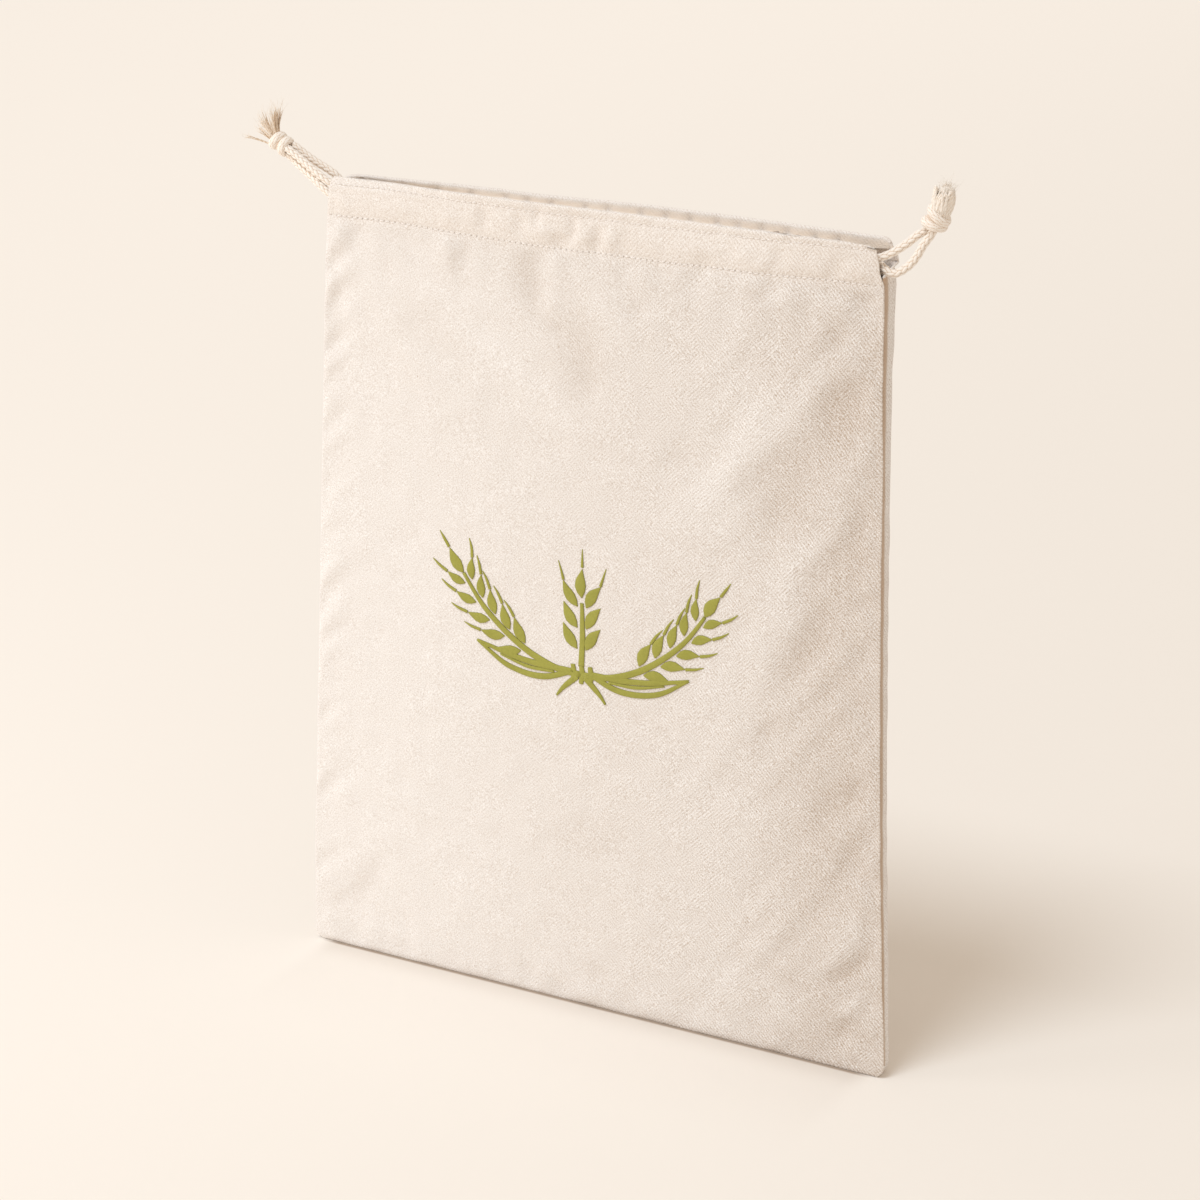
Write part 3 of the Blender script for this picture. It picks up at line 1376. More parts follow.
@dataclass
class Stitching:
    """Rows of stitches in both headings."""
    shape: BagShape
    front: FrontPanel
    back: BackPanel
    pitch: float = 2.8 * MM
    thread: float = 0.24 * MM
    margin: float = 5.0 * MM
    wobble: float = 0.10 * MM
    sinking: float = 0.20 * MM
    length: float = 2.072 * MM
    twist: float = 3200.0
    seed: int = 5

    def row(self, base: float, face: Any, out: float) -> Patch:
        """One row across a panel: short arched threads along its wobbling line.

        A thread rises out of the cloth by 1 - share^4 of its height, where share goes from -1 to
        1 along it, and sinks at both ends, where its radius shrinks too.

        Args:
            base: Height of the row.
            face: The panel's y at arrays of x and z.
            out: -1 for the front's outer face, 1 for the back's.

        Returns:
            The row's stitches.
        """
        s = self.shape
        half = float(s.level("left", np.array(base))) - self.margin
        count = int(2 * half / self.pitch)
        x = (np.arange(count) - count // 2) * self.pitch - self.pitch * 0.25
        z = s.row_line(base, x)
        rng = np.random.default_rng(self.seed + int(base / MM))
        z = z + rng.normal(0.0, self.wobble, count)
        ends = np.stack([x - self.pitch / 2, x + self.pitch / 2])
        ends = np.stack([ends, face(ends, s.row_line(base, ends)), s.row_line(base, ends)], -1)
        along = unit(ends[1] - ends[0])
        centres = np.stack([x, face(x, z), z], -1)
        sunk = rng.uniform(0.0, self.sinking, count) * (0.5 + 0.5 * np.sin(x / (17 * MM)))
        centres[:, 1] -= out * sunk
        share = np.linspace(-1.0, 1.0, 7)
        paths = centres[:, None] + along[:, None] * (share * self.length / 2)[None, :, None]
        paths[..., 1] += out * (self.thread * 0.9 * (1 - share**4) - self.thread * 0.42)
        radii = np.broadcast_to(self.thread * (1 - 0.55 * share**6), paths.shape[:2])
        return tubes_patch(paths, radii, 7, ply=0.10, twist=self.twist)

    def back_face(self, x: Array, z: Array) -> Array:
        """Outer face of the back panel with its heading's relief, as y."""
        top = self.shape.height + self.shape.cloth
        return self.shape.back_y(x, z) + self.back.heading_relief(x, z, top)

    def build(self, material: Material) -> list[Piece]:
        """Make two rows on each panel."""
        s = self.shape
        panels = (("stitches_front", s.upper_row, self.front.face, -1.0),
                  ("stitches_back", s.height + s.cloth - s.rim, self.back_face, 1.0))
        return [mesh_object(name, joined([self.row(base, face, out) for base in (upper, s.lower_row)]),
                            material) for name, upper, face, out in panels]


# ---------------------------------------------------------------- cords


def braid(angle: Array, place: Array, strands: int, turn: float) -> Array:
    """Height of a round braid whose strands go over two and under two, from 0 to 1.

    Strands wind both ways as the whole parts of strands * (angle / full turn + place / turn) and
    of the same with a minus. A strand lies on top for two crossings out of four, and there its
    height is a half-round across it times a cosine along it.

    Args:
        angle: Angle round the cord.
        place: Length along it.
        strands: Strands in each direction, an even number.
        turn: Length in which a strand goes once round.

    Returns:
        The height of the strand on top at each point.
    """
    a = strands * (angle / TURN + place / turn)
    b = strands * (angle / TURN - place / turn)
    whole_a, whole_b = np.floor(a), np.floor(b)
    first = np.sqrt(np.maximum(1 - (2 * (a - whole_a) - 1) ** 2, 0.0))
    second = np.sqrt(np.maximum(1 - (2 * (b - whole_b) - 1) ** 2, 0.0))
    along_a, along_b = np.mod(whole_a + b, 4), np.mod(a + whole_b, 4) - 2
    over = np.mod(whole_a + whole_b, 4) < 2
    rise_a = np.cos(math.pi / 2 * np.clip(along_a - 1, -1, 1)) ** 0.6
    rise_b = np.cos(math.pi / 2 * np.clip(along_b - 1, -1, 1)) ** 0.6
    return np.where(over, first * rise_a, second * rise_b)


@dataclass(frozen=True)
class Braid:
    """A braided cord's sizes."""
    diameter: float = 3.6 * MM
    strands: int = 6
    turn: float = 19.0 * MM
    relief: float = 0.50 * MM
    plain: float = 0.7
    proud: float = 0.8
    sides: int = 42
    fine_step: float = 0.28 * MM
    hidden_step: float = 2.4 * MM

    def tube(self, path: Array, shown: Array, radial: Array | None = None,
             flat: tuple[float, float] = (1.0, 1.0)) -> Patch:
        """Carry the braided section along a path.

        The radius is half the diameter plus the relief times the braid's height less proud.

        Args:
            path: Points of the centreline.
            shown: 1 where the braid shows, 0 where it is left out, at each point.
            radial: Optional direction of the section's first axis, at each point.
            flat: How far the section is stretched along its two axes.

        Returns:
            The closed tube.
        """
        if radial is None:
            across, beside = carried_frames(path)
        else:
            tangent = unit(np.gradient(path, axis=0))
            beside = unit(np.cross(tangent, radial))
            across = np.cross(beside, tangent)
        angle = (np.arange(self.sides) / self.sides * TURN)[None, :]
        height = braid(angle, arc_length(path)[:, None], self.strands, self.turn)
        height = self.plain + (height - self.plain) * shown[:, None]
        radius = self.diameter / 2 + self.relief * (height - self.proud)
        first, second = radius * np.cos(angle) * flat[0], radius * np.sin(angle) * flat[1]
        rings = path[:, None] + across[:, None] * first[..., None] + beside[:, None] * second[..., None]
        return rings_patch(rings[None], height[None])


@dataclass(frozen=True)
class Knot:
    """An overhand knot, as the wraps that show on it."""
    name: str
    node: str
    centre: Vector
    axis: Vector
    radius: float
    half_length: float
    start: float
    tilt: float
    band: tuple[float, float]
    wraps: int = 2
    points: int = 420
    turn: float = 30.0 * MM
    relief: float = 0.13 * MM
    strands: int = 9

    def frame(self) -> Matrix:
        """Axes of the knot: across it in the bag's plane, backwards, and along it."""
        axis = self.axis.normalized()
        across = Vector((0.0, 1.0, 0.0)).cross(axis).normalized()
        return Matrix((across, axis.cross(across), axis)).transposed()

    def placed(self, points: Array) -> Array:
        """Move points from the knot's own axes to the bag's."""
        return points @ np.array(self.frame()).T + np.array(self.centre)

    def entry(self, side: float, back: float, gap: float, lead: float) -> list[Vector]:
        """Last two centre points of a cord that goes square into the knot's lower end.

        Args:
            side: Place of the cord across the knot.
            back: Place of the cord backwards.
            gap: How far before the knot the first point lies.
            lead: From the first point to the second.

        Returns:
            The two points.
        """
        end = self.centre + self.frame() @ Vector((side, back, -self.half_length - gap))
        return [end, end - self.axis.normalized() * lead]

    def build(self, braided: Braid, material: Material) -> Piece:
        """Wrap the cord twice round the bundle.

        The wraps are a helix that climbs between them on the hidden side and leans by the tilt.
        Its radius falls to 0.35 at both ends, where the cord dives into the knot, and its braid
        is pulled smooth. A rounded core fills the middle.

        Args:
            braided: The cord's braid.
            material: The cord's finish.

        Returns:
            The knot.
        """
        share = np.linspace(0.0, 1.0, self.points)
        angle = self.start + self.wraps * TURN * share
        tuck = smoothstep(0.0, 0.07, share) * smoothstep(0.0, 0.07, 1 - share)
        ring = (self.radius - braided.diameter / 2 * self.band[0]) * (0.35 + 0.65 * tuck)
        reach = self.half_length - braided.diameter / 2 * self.band[1] * 0.92
        height = reach * (2 * smoothstep(0.38, 0.62, share) - 1)
        lean = ring * self.tilt * np.cos(angle) * (1 - 1.6 * smoothstep(0.4, 0.6, 1 - share))
        helix = np.stack([ring * np.cos(angle), ring * np.sin(angle), height + lean], -1)
        outward = np.stack([np.cos(angle), np.sin(angle), np.zeros_like(angle)], -1)
        turned = np.array(self.frame())
        smooth = replace(braided, turn=self.turn, relief=self.relief, strands=self.strands)
        wraps = smooth.tube(self.placed(helix), np.ones(len(share)), outward @ turned.T, self.band)
        polar = np.linspace(-0.5, 0.5, 11) * math.pi * 0.98
        core = dome(0.74 * self.radius * np.cos(polar), 0.90 * self.half_length * np.sin(polar),
                    np.eye(3), 20)
        filler = rings_patch(self.placed(core)[None], np.full((1, *core.shape[:2]), 0.25))
        return mesh_object(self.name, joined([wraps, filler]), material)


LEFT_KNOT = Knot("left_knot", "knot_left", Vector((-0.1649, -0.0025, 0.3855)),
                 Vector((-0.89, 0.06, 0.44)), radius=4.8 * MM, half_length=4.4 * MM,
                 start=1.9, tilt=-0.16, band=(0.86, 1.16))
RIGHT_KNOT = Knot("right_knot", "knot_right", Vector((0.1546, -0.0025, 0.3882)),
                  Vector((0.45, 0.02, 0.89)), radius=5.8 * MM, half_length=3.9 * MM,
                  start=1.9, tilt=-0.26, band=(0.98, 1.06))


@dataclass(frozen=True)
class Lanes:
    """Where the cords run in the tunnels."""
    shape: BagShape
    upper: float = 366.2 * MM
    lower: float = 362.3 * MM
    tail_inset: float = 1.1 * MM

    @property
    def front(self) -> float:
        """Middle of the front tunnel, as y."""
        return self.shape.front + self.shape.cloth + self.shape.tunnel / 2

    def along_front(self, xs: tuple[float, ...], z: float) -> list[tuple[float, float, float]]:
        """Route points through the front tunnel, from places across in mm."""
        return [(x * MM, self.front, z) for x in xs]

    def along_back(self, xs: tuple[float, ...], z: float) -> list[tuple[float, float, float]]:
        """Route points through the back tunnel, from places across in mm."""
        places = np.array(xs) * MM
        depth = self.shape.back_y(places, np.full_like(places, z))
        depth = depth - self.shape.cloth - self.shape.tunnel / 2
        return [(x, y, z) for x, y in zip(places.tolist(), depth.tolist())]


def millimetres(*points: tuple[float, float, float]) -> list[tuple[float, float, float]]:
    """Turn route points from millimetres into metres."""
    return [(x * MM, y * MM, z * MM) for x, y, z in points]


@dataclass(frozen=True)
class Strand:
    """A drawstring as a fixed length of braided cord on its route."""
    name: str
    node: str
    points: list[Any]
    exit: tuple[float, float, float]
    length: float
    mouth: tuple[float, float] = (119.0 * MM, 125.0 * MM)

    def shown(self, path: Array) -> Array:
        """0 inside the tunnels, rising to 1 outside their mouths."""
        return smoothstep(*self.mouth, np.abs(path[:, 0]))

    def build(self, braided: Braid, material: Material, with_pieces: list[Piece]) -> Piece:
        """Args:
            braided: The braid's sizes.
            material: Its finish.
            with_pieces: The knot and the frayed end that are on it.

        Returns:
            The cord.
        """
        dense = spline(np.array([tuple(point) for point in self.points]))
        finer = (braided.fine_step - braided.hidden_step) * self.shown(dense)
        path = respaced(dense, braided.hidden_step + finer)
        cord = mesh_object(self.name, braided.tube(path, self.shown(path)), material)
        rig.cord(cord, exit=self.exit, length=self.length, diameter=braided.diameter, far_end="knot",
                stiffness="limp", lay="loose", path=path.tolist(), with_pieces=with_pieces)
        LOG.info("%s is %.1f mm long", self.name, arc_length(path)[-1] / MM)
        return cord


def strands(shape: BagShape) -> tuple[Strand, Strand, Strand]:
    """The three cord routes: left, its third tail, and right.

    Each leaves its knot, goes in at a slit, round the tunnels and out again. Its points are in
    millimetres where millimetres() turns them into metres.

    Args:
        shape: The bag.

    Returns:
        The three drawstrings.
    """
    lanes = Lanes(shape)
    gap, lead = shape.seam_gap, 2.4 * MM
    front, tail = lanes.front / MM, (lanes.front + lanes.tail_inset) / MM
    out = LEFT_KNOT.entry(-2.7 * MM, 0.2 * MM, gap, lead)
    home = LEFT_KNOT.entry(2.0 * MM, 1.8 * MM, gap, lead)[::-1]
    left = [*out,
            *millimetres((-154.0, -4.4, 376.8), (-148.5, -5.6, 373.8), (-143.4, -6.8, 371.0),
                         (-138.0, -7.7, 367.8), (-132.0, front, 364.6), (-126.5, front, 362.8)),
            *lanes.along_front((-119, -80, -40, 0, 40, 80, 119), lanes.lower),
            *millimetres((127.0, -6.8, 362.3), (130.4, -2.8, 362.3), (127.0, 1.2, 362.3)),
            *lanes.along_back((119, 100, 80, 60, 30, 0, -30, -60, -80, -100, -119), lanes.lower),
            *millimetres((-124.5, -0.6, 363.7), (-128.8, -1.4, 366.8), (-133.0, -1.8, 370.6),
                         (-137.5, -1.4, 374.3), (-142.5, -1.0, 376.6), (-148.0, -0.8, 378.8),
                         (-153.5, -0.7, 381.5)),
            *home]
    third = [*LEFT_KNOT.entry(0.8 * MM, -2.2 * MM, gap, lead),
             *millimetres((-154.0, -5.4, 380.9), (-147.8, -6.4, 377.6), (-141.8, -6.9, 374.3),
                          (-136.5, tail, 371.5), (-131.0, tail, 369.8), (-128.0, tail, 369.2))]
    out = RIGHT_KNOT.entry(-1.7 * MM, 1.6 * MM, gap, lead)
    home = RIGHT_KNOT.entry(1.5 * MM, -1.6 * MM, gap, lead)[::-1]
    right = [*out,
             *millimetres((146.6, -2.6, 380.8), (143.2, -4.0, 377.5), (139.7, -5.5, 374.7),
                          (136.2, -7.0, 372.3), (132.5, front, 370.6), (126.0, front, 367.6)),
             *lanes.along_front((118, 80, 40, 0, -40, -80, -116), lanes.upper),
             *millimetres((-120.8, -6.8, 366.2), (-123.2, -3.8, 366.2), (-120.8, -0.7, 366.2)),
             *lanes.along_back((-116, -100, -80, -60, -30, 0, 30, 60, 80, 100, 118), lanes.upper),
             *millimetres((125.5, 1.0, 366.0), (130.0, -2.6, 366.4), (133.5, -6.2, 366.0),
                          (136.4, -6.8, 364.7), (139.2, -6.4, 364.6), (142.4, -5.8, 366.5),
                          (145.6, -5.2, 369.5), (148.0, -4.8, 373.2), (150.0, -4.4, 377.2)),
             *home]
    return (Strand("drawstring_left", "cord_left", left, (-0.1400, -0.0072, 0.3685), 0.632),
            Strand("drawstring_left_tail", "cord_left_third", third, (-0.1365, -0.0068, 0.3715), 0.037),
            Strand("drawstring_right", "cord_right", right, (0.1362, -0.0070, 0.3723), 0.620))


# ---------------------------------------------------------------- frayed ends


@dataclass(frozen=True)
class Fray:
    """What the two frayed ends share: yarns of two plies that end in fine fibres."""
    name: str
    node: str
    knot: Knot
    seed: int
    yarn: float
    fibre: float = 0.055 * MM
    steps: int = 12
    ply: float = 0.14

    @property
    def root(self) -> Array:
        """Point where the yarns leave the knot."""
        axis = self.knot.axis.normalized()
        return np.array(self.knot.centre + axis * self.knot.half_length)

    def arcs(self, start: Array, lead: Array, end: Array, points: int) -> Array:
        """Quadratic curves from start, towards start + lead, to end: (1-t)^2, 2t(1-t), t^2."""
        t = np.linspace(0.0, 1.0, points)[None, :, None]
        first, last = start[:, None], end[:, None]
        middle = (start + lead)[:, None]
        return first * (1 - t) ** 2 + middle * 2 * t * (1 - t) + last * t**2

    def spun(self, paths: Array, shares: list[float], widths: list[float], twist: float) -> Patch:
        """Yarns of two plies along paths.

        Args:
            paths: Their centrelines.
            shares: Shares of the way at which widths are given.
            widths: Widths there, as shares of the yarn's own.
            twist: Turn of the plies, in radians for each metre.

        Returns:
            The yarns as one patch.
        """
        taper = np.interp(np.linspace(0, 1, paths.shape[1]), shares, widths)
        radii = self.yarn * taper * np.ones((len(paths), 1))
        return tubes_patch(paths, radii, 8, ply=self.ply, twist=twist)

    def fibres(self, paths: Array, first: int, count: int, length: float, spread: float) -> Patch:
        """Fine loose fibres that leave the yarns near their ends.

        Args:
            paths: Centrelines of the yarns.
            first: Number of the first point of a yarn that fibres may leave.
            count: How many fibres.
            length: Their mean length.
            spread: How far their directions scatter, as a share of a unit vector.

        Returns:
            The fibres as one patch.
        """
        roots = paths[:, first:].reshape(-1, 3)
        heading = unit(np.gradient(paths, axis=1))[:, first:].reshape(-1, 3)
        rng = np.random.default_rng(self.seed + 50)
        pick = rng.integers(0, len(roots), count)
        way = unit(heading[pick] + rng.normal(0.0, spread, (count, 3)))
        reach = length * rng.uniform(0.5, 1.4, (count, 1))
        bend = rng.normal(0.0, 0.35, (count, 3)) * reach
        curls = self.arcs(roots[pick], way * reach * 0.5, roots[pick] + way * reach + bend, 6)
        radii = np.broadcast_to(self.fibre * np.linspace(1.0, 0.45, 6), curls.shape[:2])
        return tubes_patch(curls, radii, 4)


@dataclass(frozen=True)
class FanFray(Fray):
    """Yarns in clumps that fan out over a fifth of a turn in the bag's plane."""
    clumps: int = 15
    yarns: int = 60
    low_angle: float = math.radians(90)
    high_angle: float = math.radians(162)
    length: float = 10.4 * MM
    sunk: float = 1.6 * MM
    twist: float = 1500.0

    def build(self, material: Material) -> Piece:
        """Make the fan.

        Each yarn starts on the knot's face, at a place across it that follows its angle in the
        fan, leaves along the knot's axis and bends to its own angle. The clumps differ in tone,
        and grow paler away from the first one.

        Args:
            material: Finish of the fanned cotton.

        Returns:
            The frayed end.
        """
        rng = np.random.default_rng(self.seed)
        clump = np.arange(self.yarns) % self.clumps
        share = (clump + rng.uniform(-0.3, 0.3, self.yarns)) / (self.clumps - 1)
        angle = self.low_angle + (self.high_angle - self.low_angle) * share
        depth = rng.uniform(-1.0, 1.0, self.clumps)[clump] + rng.normal(0.0, 0.12, self.yarns)
        way = unit(np.stack([np.cos(angle), 0.28 * depth, np.sin(angle)], -1))
        axis = np.array(self.knot.axis.normalized())
        across = np.array(self.knot.frame())[:, 0]
        start = (self.root - axis * self.sunk - across * ((share - 0.5) * 5.0 * MM)[:, None]
                 + np.array([0.0, 1.9 * MM, 0.0]) * depth[:, None])
        reach = self.length * rng.uniform(0.86, 1.10, (self.yarns, 1)) + self.sunk
        lead = axis * reach * 0.20 + way * reach * 0.26
        end = start + way * reach + rng.normal(0, 0.35 * MM, (self.yarns, 3))
        paths = self.arcs(start, lead, end, self.steps)
        yarns = self.spun(paths, [0.0, 0.55, 0.9, 1.0], [1.0, 0.92, 0.55, 0.25], self.twist)
        streak = rng.uniform(-0.30, 0.30, self.clumps)[clump] + 0.22 * share - 0.24
        streak = np.repeat(streak, len(yarns.tone) // self.yarns)
        yarns = yarns._replace(tone=yarns.tone + streak)
        loose = self.fibres(paths, 7, 230, 3.6 * MM, 0.16)
        return mesh_object(self.name, joined([yarns, loose]), material)


@dataclass(frozen=True)
class TuftFray(Fray):
    """Yarns that rise in a bundle, with loops that turn over outside it and fuzz on top."""
    yarns: int = 70
    loops: int = 8
    length: float = 11.6 * MM
    root_radius: float = 3.1 * MM
    sunk: float = 2.2 * MM
    loops_sunk: float = 1.8 * MM
    twist: float = 1300.0
    lean: Vector = Vector((0.20, 0.0, 1.0))

    def axes(self) -> Array:
        """Axes of the bundle: sideways, backwards and up its lean, one a row."""
        up = np.array(self.lean.normalized())
        side = unit(np.cross(np.array([0.0, 1.0, 0.0]), up))
        return np.stack([side, np.cross(up, side), up])

    def bundle(self, rng: np.random.Generator) -> Array:
        """Centrelines of the straight yarns.

        They start on a sunflower pattern over the knot's face and rise along the lean, swelling
        outwards in the middle.

        Args:
            rng: Source of the random draws.

        Returns:
            The centrelines.
        """
        side, back, up = self.axes()
        index = np.arange(self.yarns)
        place = self.root_radius * np.sqrt((index + 0.5) / self.yarns)
        angle = index * GOLDEN_ANGLE
        out = np.cos(angle)[:, None] * side + np.sin(angle)[:, None] * back
        start = self.root + out * place[:, None] - up * self.sunk
        inner = 1 - (place[:, None] / self.root_radius) ** 2
        reach = self.length * (0.78 + 0.19 * inner) * rng.uniform(0.95, 1.05, (self.yarns, 1))
        reach = reach + self.sunk
        swell = out * (place[:, None] * 0.62 + 0.5 * MM)
        sway = rng.normal(0.0, 0.55 * MM, (self.yarns, 3))
        end = start + up * reach + out * 0.3 * MM + sway
        return self.arcs(start, up * reach * 0.5 + swell, end, self.steps)

    def bows(self, rng: np.random.Generator) -> Array:
        """Centrelines of the loops: half-ellipses that go up, over and down outside the bundle.

        Args:
            rng: Source of the random draws.

        Returns:
            The centrelines.
        """
        side, back, up = self.axes()
        turn = np.linspace(0.0, 1.0, 22)[None, :, None]
        spot = np.linspace(-1.25, 1.1, self.loops)
        face = np.sin(spot)[:, None] * side - np.cos(spot)[:, None] * back
        foot = self.root + face * 2.5 * MM - up * self.loops_sunk
        tall = self.length * rng.uniform(0.62, 0.95, (self.loops, 1))
        wide = rng.uniform(0.9, 1.7, (self.loops, 1)) * MM
        slide = np.cross(up, face) * rng.choice([-1.0, 1.0], (self.loops, 1))
        return (foot[:, None] + up * (tall[:, None] + self.loops_sunk) * np.sin(turn * math.pi * 0.93)
                + slide[:, None] * wide[:, None] * (1 - np.cos(turn * math.pi)) * 0.8
                + face[:, None] * (1.0 * MM + 1.1 * MM * np.sin(turn * math.pi)))

    def build(self, material: Material) -> Piece:
        """Make the bundle, its loops, its fuzz, and a rounded core that fills the gaps.

        Args:
            material: Finish of the tufted cotton.

        Returns:
            The frayed end.
        """
        rng = np.random.default_rng(self.seed)
        paths = self.bundle(rng)
        straight = self.spun(paths, [0.0, 0.7, 1.0], [1.0, 0.95, 0.5], self.twist)
        bent = self.spun(self.bows(rng), [0.0], [0.95], self.twist)
        fuzz = self.fibres(paths, 8, 260, 2.9 * MM, 0.42)
        rise = np.linspace(0.0, 1.0, 10)
        wide = (3.2 + 0.3 * rise) * MM * np.sqrt(1 - (0.99 * rise) ** 4)
        body = dome(wide, np.sin(rise * 1.5) * self.length * 0.95, self.axes(), 16)
        core = rings_patch((self.root + body)[None], np.full((1, *body.shape[:2]), 0.45))
        return mesh_object(self.name, joined([straight, bent, core, fuzz]), material)


# ---------------------------------------------------------------- print


class Side(Enum):
    """The two halves of the print, as the sign of x."""
    LEFT = -1
    RIGHT = 1


@dataclass(frozen=True)
class WheatPrint:
    """A printed garland: two ears with leaves that meet at a tie, and a short ear between them.

    Places and widths are in mm, from the print's centre.
    """
    panel: FrontPanel
    centre: tuple[float, float] = (-4.0, 187.0)
    thickness: float = 0.55 * MM
    sides: int = 18
    steps: int = 26
    opening: float = 0.66
    root_offset: float = 2.2
    awn: tuple[float, ...] = (0.75, 0.65, 0.2)

    def stroke(self, points: Any, widths: tuple[float, ...]) -> Patch:
        """A raised stroke on the cloth.

        Its centreline is a smooth curve through the points, and its half-width is read from
        widths along it. The section is a flattened round: cos to the power 0.7 across and sin to
        the power 0.55 out of the cloth.

        Args:
            points: Places across and up.
            widths: Half-widths, evenly spaced along the stroke.

        Returns:
            The closed stroke.
        """
        line = spline(np.array(points, float), 10)
        line = self.along(line, np.linspace(0.0, 1.0, self.steps))
        heading = unit(np.gradient(line, axis=0))
        normal = np.stack([-heading[:, 1], heading[:, 0]], -1)
        half = np.interp(np.linspace(0, 1, self.steps), np.linspace(0, 1, len(widths)), widths)
        angle = np.arange(self.sides) / self.sides * TURN
        across = np.sign(np.cos(angle)) * np.abs(np.cos(angle)) ** 0.7
        out = np.sign(np.sin(angle)) * np.abs(np.sin(angle)) ** 0.55
        flat = line[:, None] + normal[:, None] * (half[:, None] * across)[..., None]
        x, z = np.moveaxis((flat + np.array(self.centre)) * MM, -1, 0)
        rise = self.thickness * np.minimum(1.0, half / 0.6)[:, None] * out
        y = self.panel.face(x, z) - rise - 0.02 * MM
        tone = np.broadcast_to(np.maximum(out, 0.0), (1, self.steps, self.sides))
        return rings_patch(np.stack([x, y, z], -1)[None], tone)

    def along(self, line: Array, share: Any) -> Array:
        """The points at shares of a line's length."""
        length = arc_length(line)
        return np.stack([np.interp(share * length[-1], length, column) for column in line.T], -1)

    def kernel(self, foot: Array, way: Array, length: float, width: float) -> Patch:
        """A grain: a pointed oval of that length and half-width from its foot along way."""
        tip = foot + way * length
        bow = np.array([-way[1], way[0]]) * length * 0.06
        return self.stroke([foot, (foot + tip) / 2 + bow, tip],
                           (0.15, 0.72 * width, width, 0.86 * width, 0.45 * width, 0.1))

    def ear(self, side: Side) -> list[Patch]:
        """One ear: a bent stem, grains in pairs along its outer part, a tip grain and awns.

        Args:
            side: The half that it lies in.

        Returns:
            Its strokes.
        """
        stem = np.array([(0.0, -24.0), (14.0, -23.0), (32.0, -15.5), (50.0, -1.0), (61.0, 14.0)])
        stem = spline(stem * [side.value, 1], 16)
        parts = [self.stroke(stem[::8], (1.5, 1.6, 1.5, 1.2, 0.8))]
        for number, share in enumerate(np.linspace(0.42, 0.94, 5)):
            foot = self.along(stem, share)
            way = unit(self.along(stem, share + 0.02) - foot)
            size = 1.0 - 0.05 * number
            for turn in (-1.0, 1.0):
                square = turn * np.array([-way[1], way[0]])
                lean = unit(way + self.opening * square)
                root = foot + square * self.root_offset
                tip = root + lean * 13.2 * size
                end = tip + unit(way + 0.42 * square) * 9.0
                parts += [self.kernel(root, lean, 13.0 * size, 2.7 * size),
                          self.stroke([tip, (tip + end) / 2 + square * 0.4, end], self.awn)]
        last, way = stem[-1], unit(stem[-1] - stem[-3])
        return [*parts, self.kernel(last, way, 13.0, 2.9),
                self.stroke([last + way * 13.5, last + way * 22.0], self.awn)]

    def leaf(self, side: Side) -> list[Patch]:
        """A long leaf under each ear: two edges that meet in a point, and a middle vein."""
        edge, vein = (1.2, 1.5, 1.3, 0.6), (0.6, 0.9, 0.4)
        lines = (([(4, -23), (20, -28.5), (38, -26.5), (54, -17)], edge),
                 ([(4, -23), (22, -23.0), (38, -21.0), (54, -17)], edge),
                 ([(14, -25.2), (28, -25.0), (42, -21.8)], vein))
        return [self.stroke(np.array(line) * [side.value, 1], widths) for line, widths in lines]

    def tie(self) -> list[Patch]:
        """Three short bands across the crossed stems, and the two cut ends under them."""
        bands = [self.stroke([(x, -28.2), (x + 0.6, -24.0), (x, -19.6)], (1.1, 1.5, 1.1))
                 for x in (-4.4, 0.0, 4.4)]
        ends = [self.stroke([(2.0 * s, -25.0), (9.0 * s, -31.5), (12.5 * s, -36.0)], (1.5, 1.3, 0.5))
                for s in (-1.0, 1.0)]
        return [*bands, *ends]

    def sprig(self) -> list[Patch]:
        """A short upright ear in the middle, with three pairs of grains and three awns."""
        parts = [self.stroke([(0.0, -20.0), (0.4, -6.0), (0.0, 10.0)], (1.5, 1.4, 0.9))]
        parts += [self.kernel(np.array([turn * self.root_offset, height]),
                              unit(np.array([turn * self.opening, 1.0])), 13.5, 2.8)
                  for height in (-12.0, -2.0, 8.0) for turn in (-1.0, 1.0)]
        parts.append(self.kernel(np.array([0.0, 12.5]), np.array([0.0, 1.0]), 13.5, 2.8))
        for turn in (-1.0, 0.0, 1.0):
            foot = np.array([turn * 9.4, 19.6 + 7.2 * (turn == 0.0)])
            parts.append(self.stroke([foot, foot + np.array([turn * 2.8, 8.5])], self.awn[::2]))
        return parts

    def build(self, material: Material) -> Piece:
        """Print the garland."""
        parts = [*self.ear(Side.LEFT), *self.ear(Side.RIGHT), *self.leaf(Side.LEFT),
                 *self.leaf(Side.RIGHT), *self.tie(), *self.sprig()]
        return mesh_object("printed_wheat", joined(parts), material)


# ---------------------------------------------------------------- studio


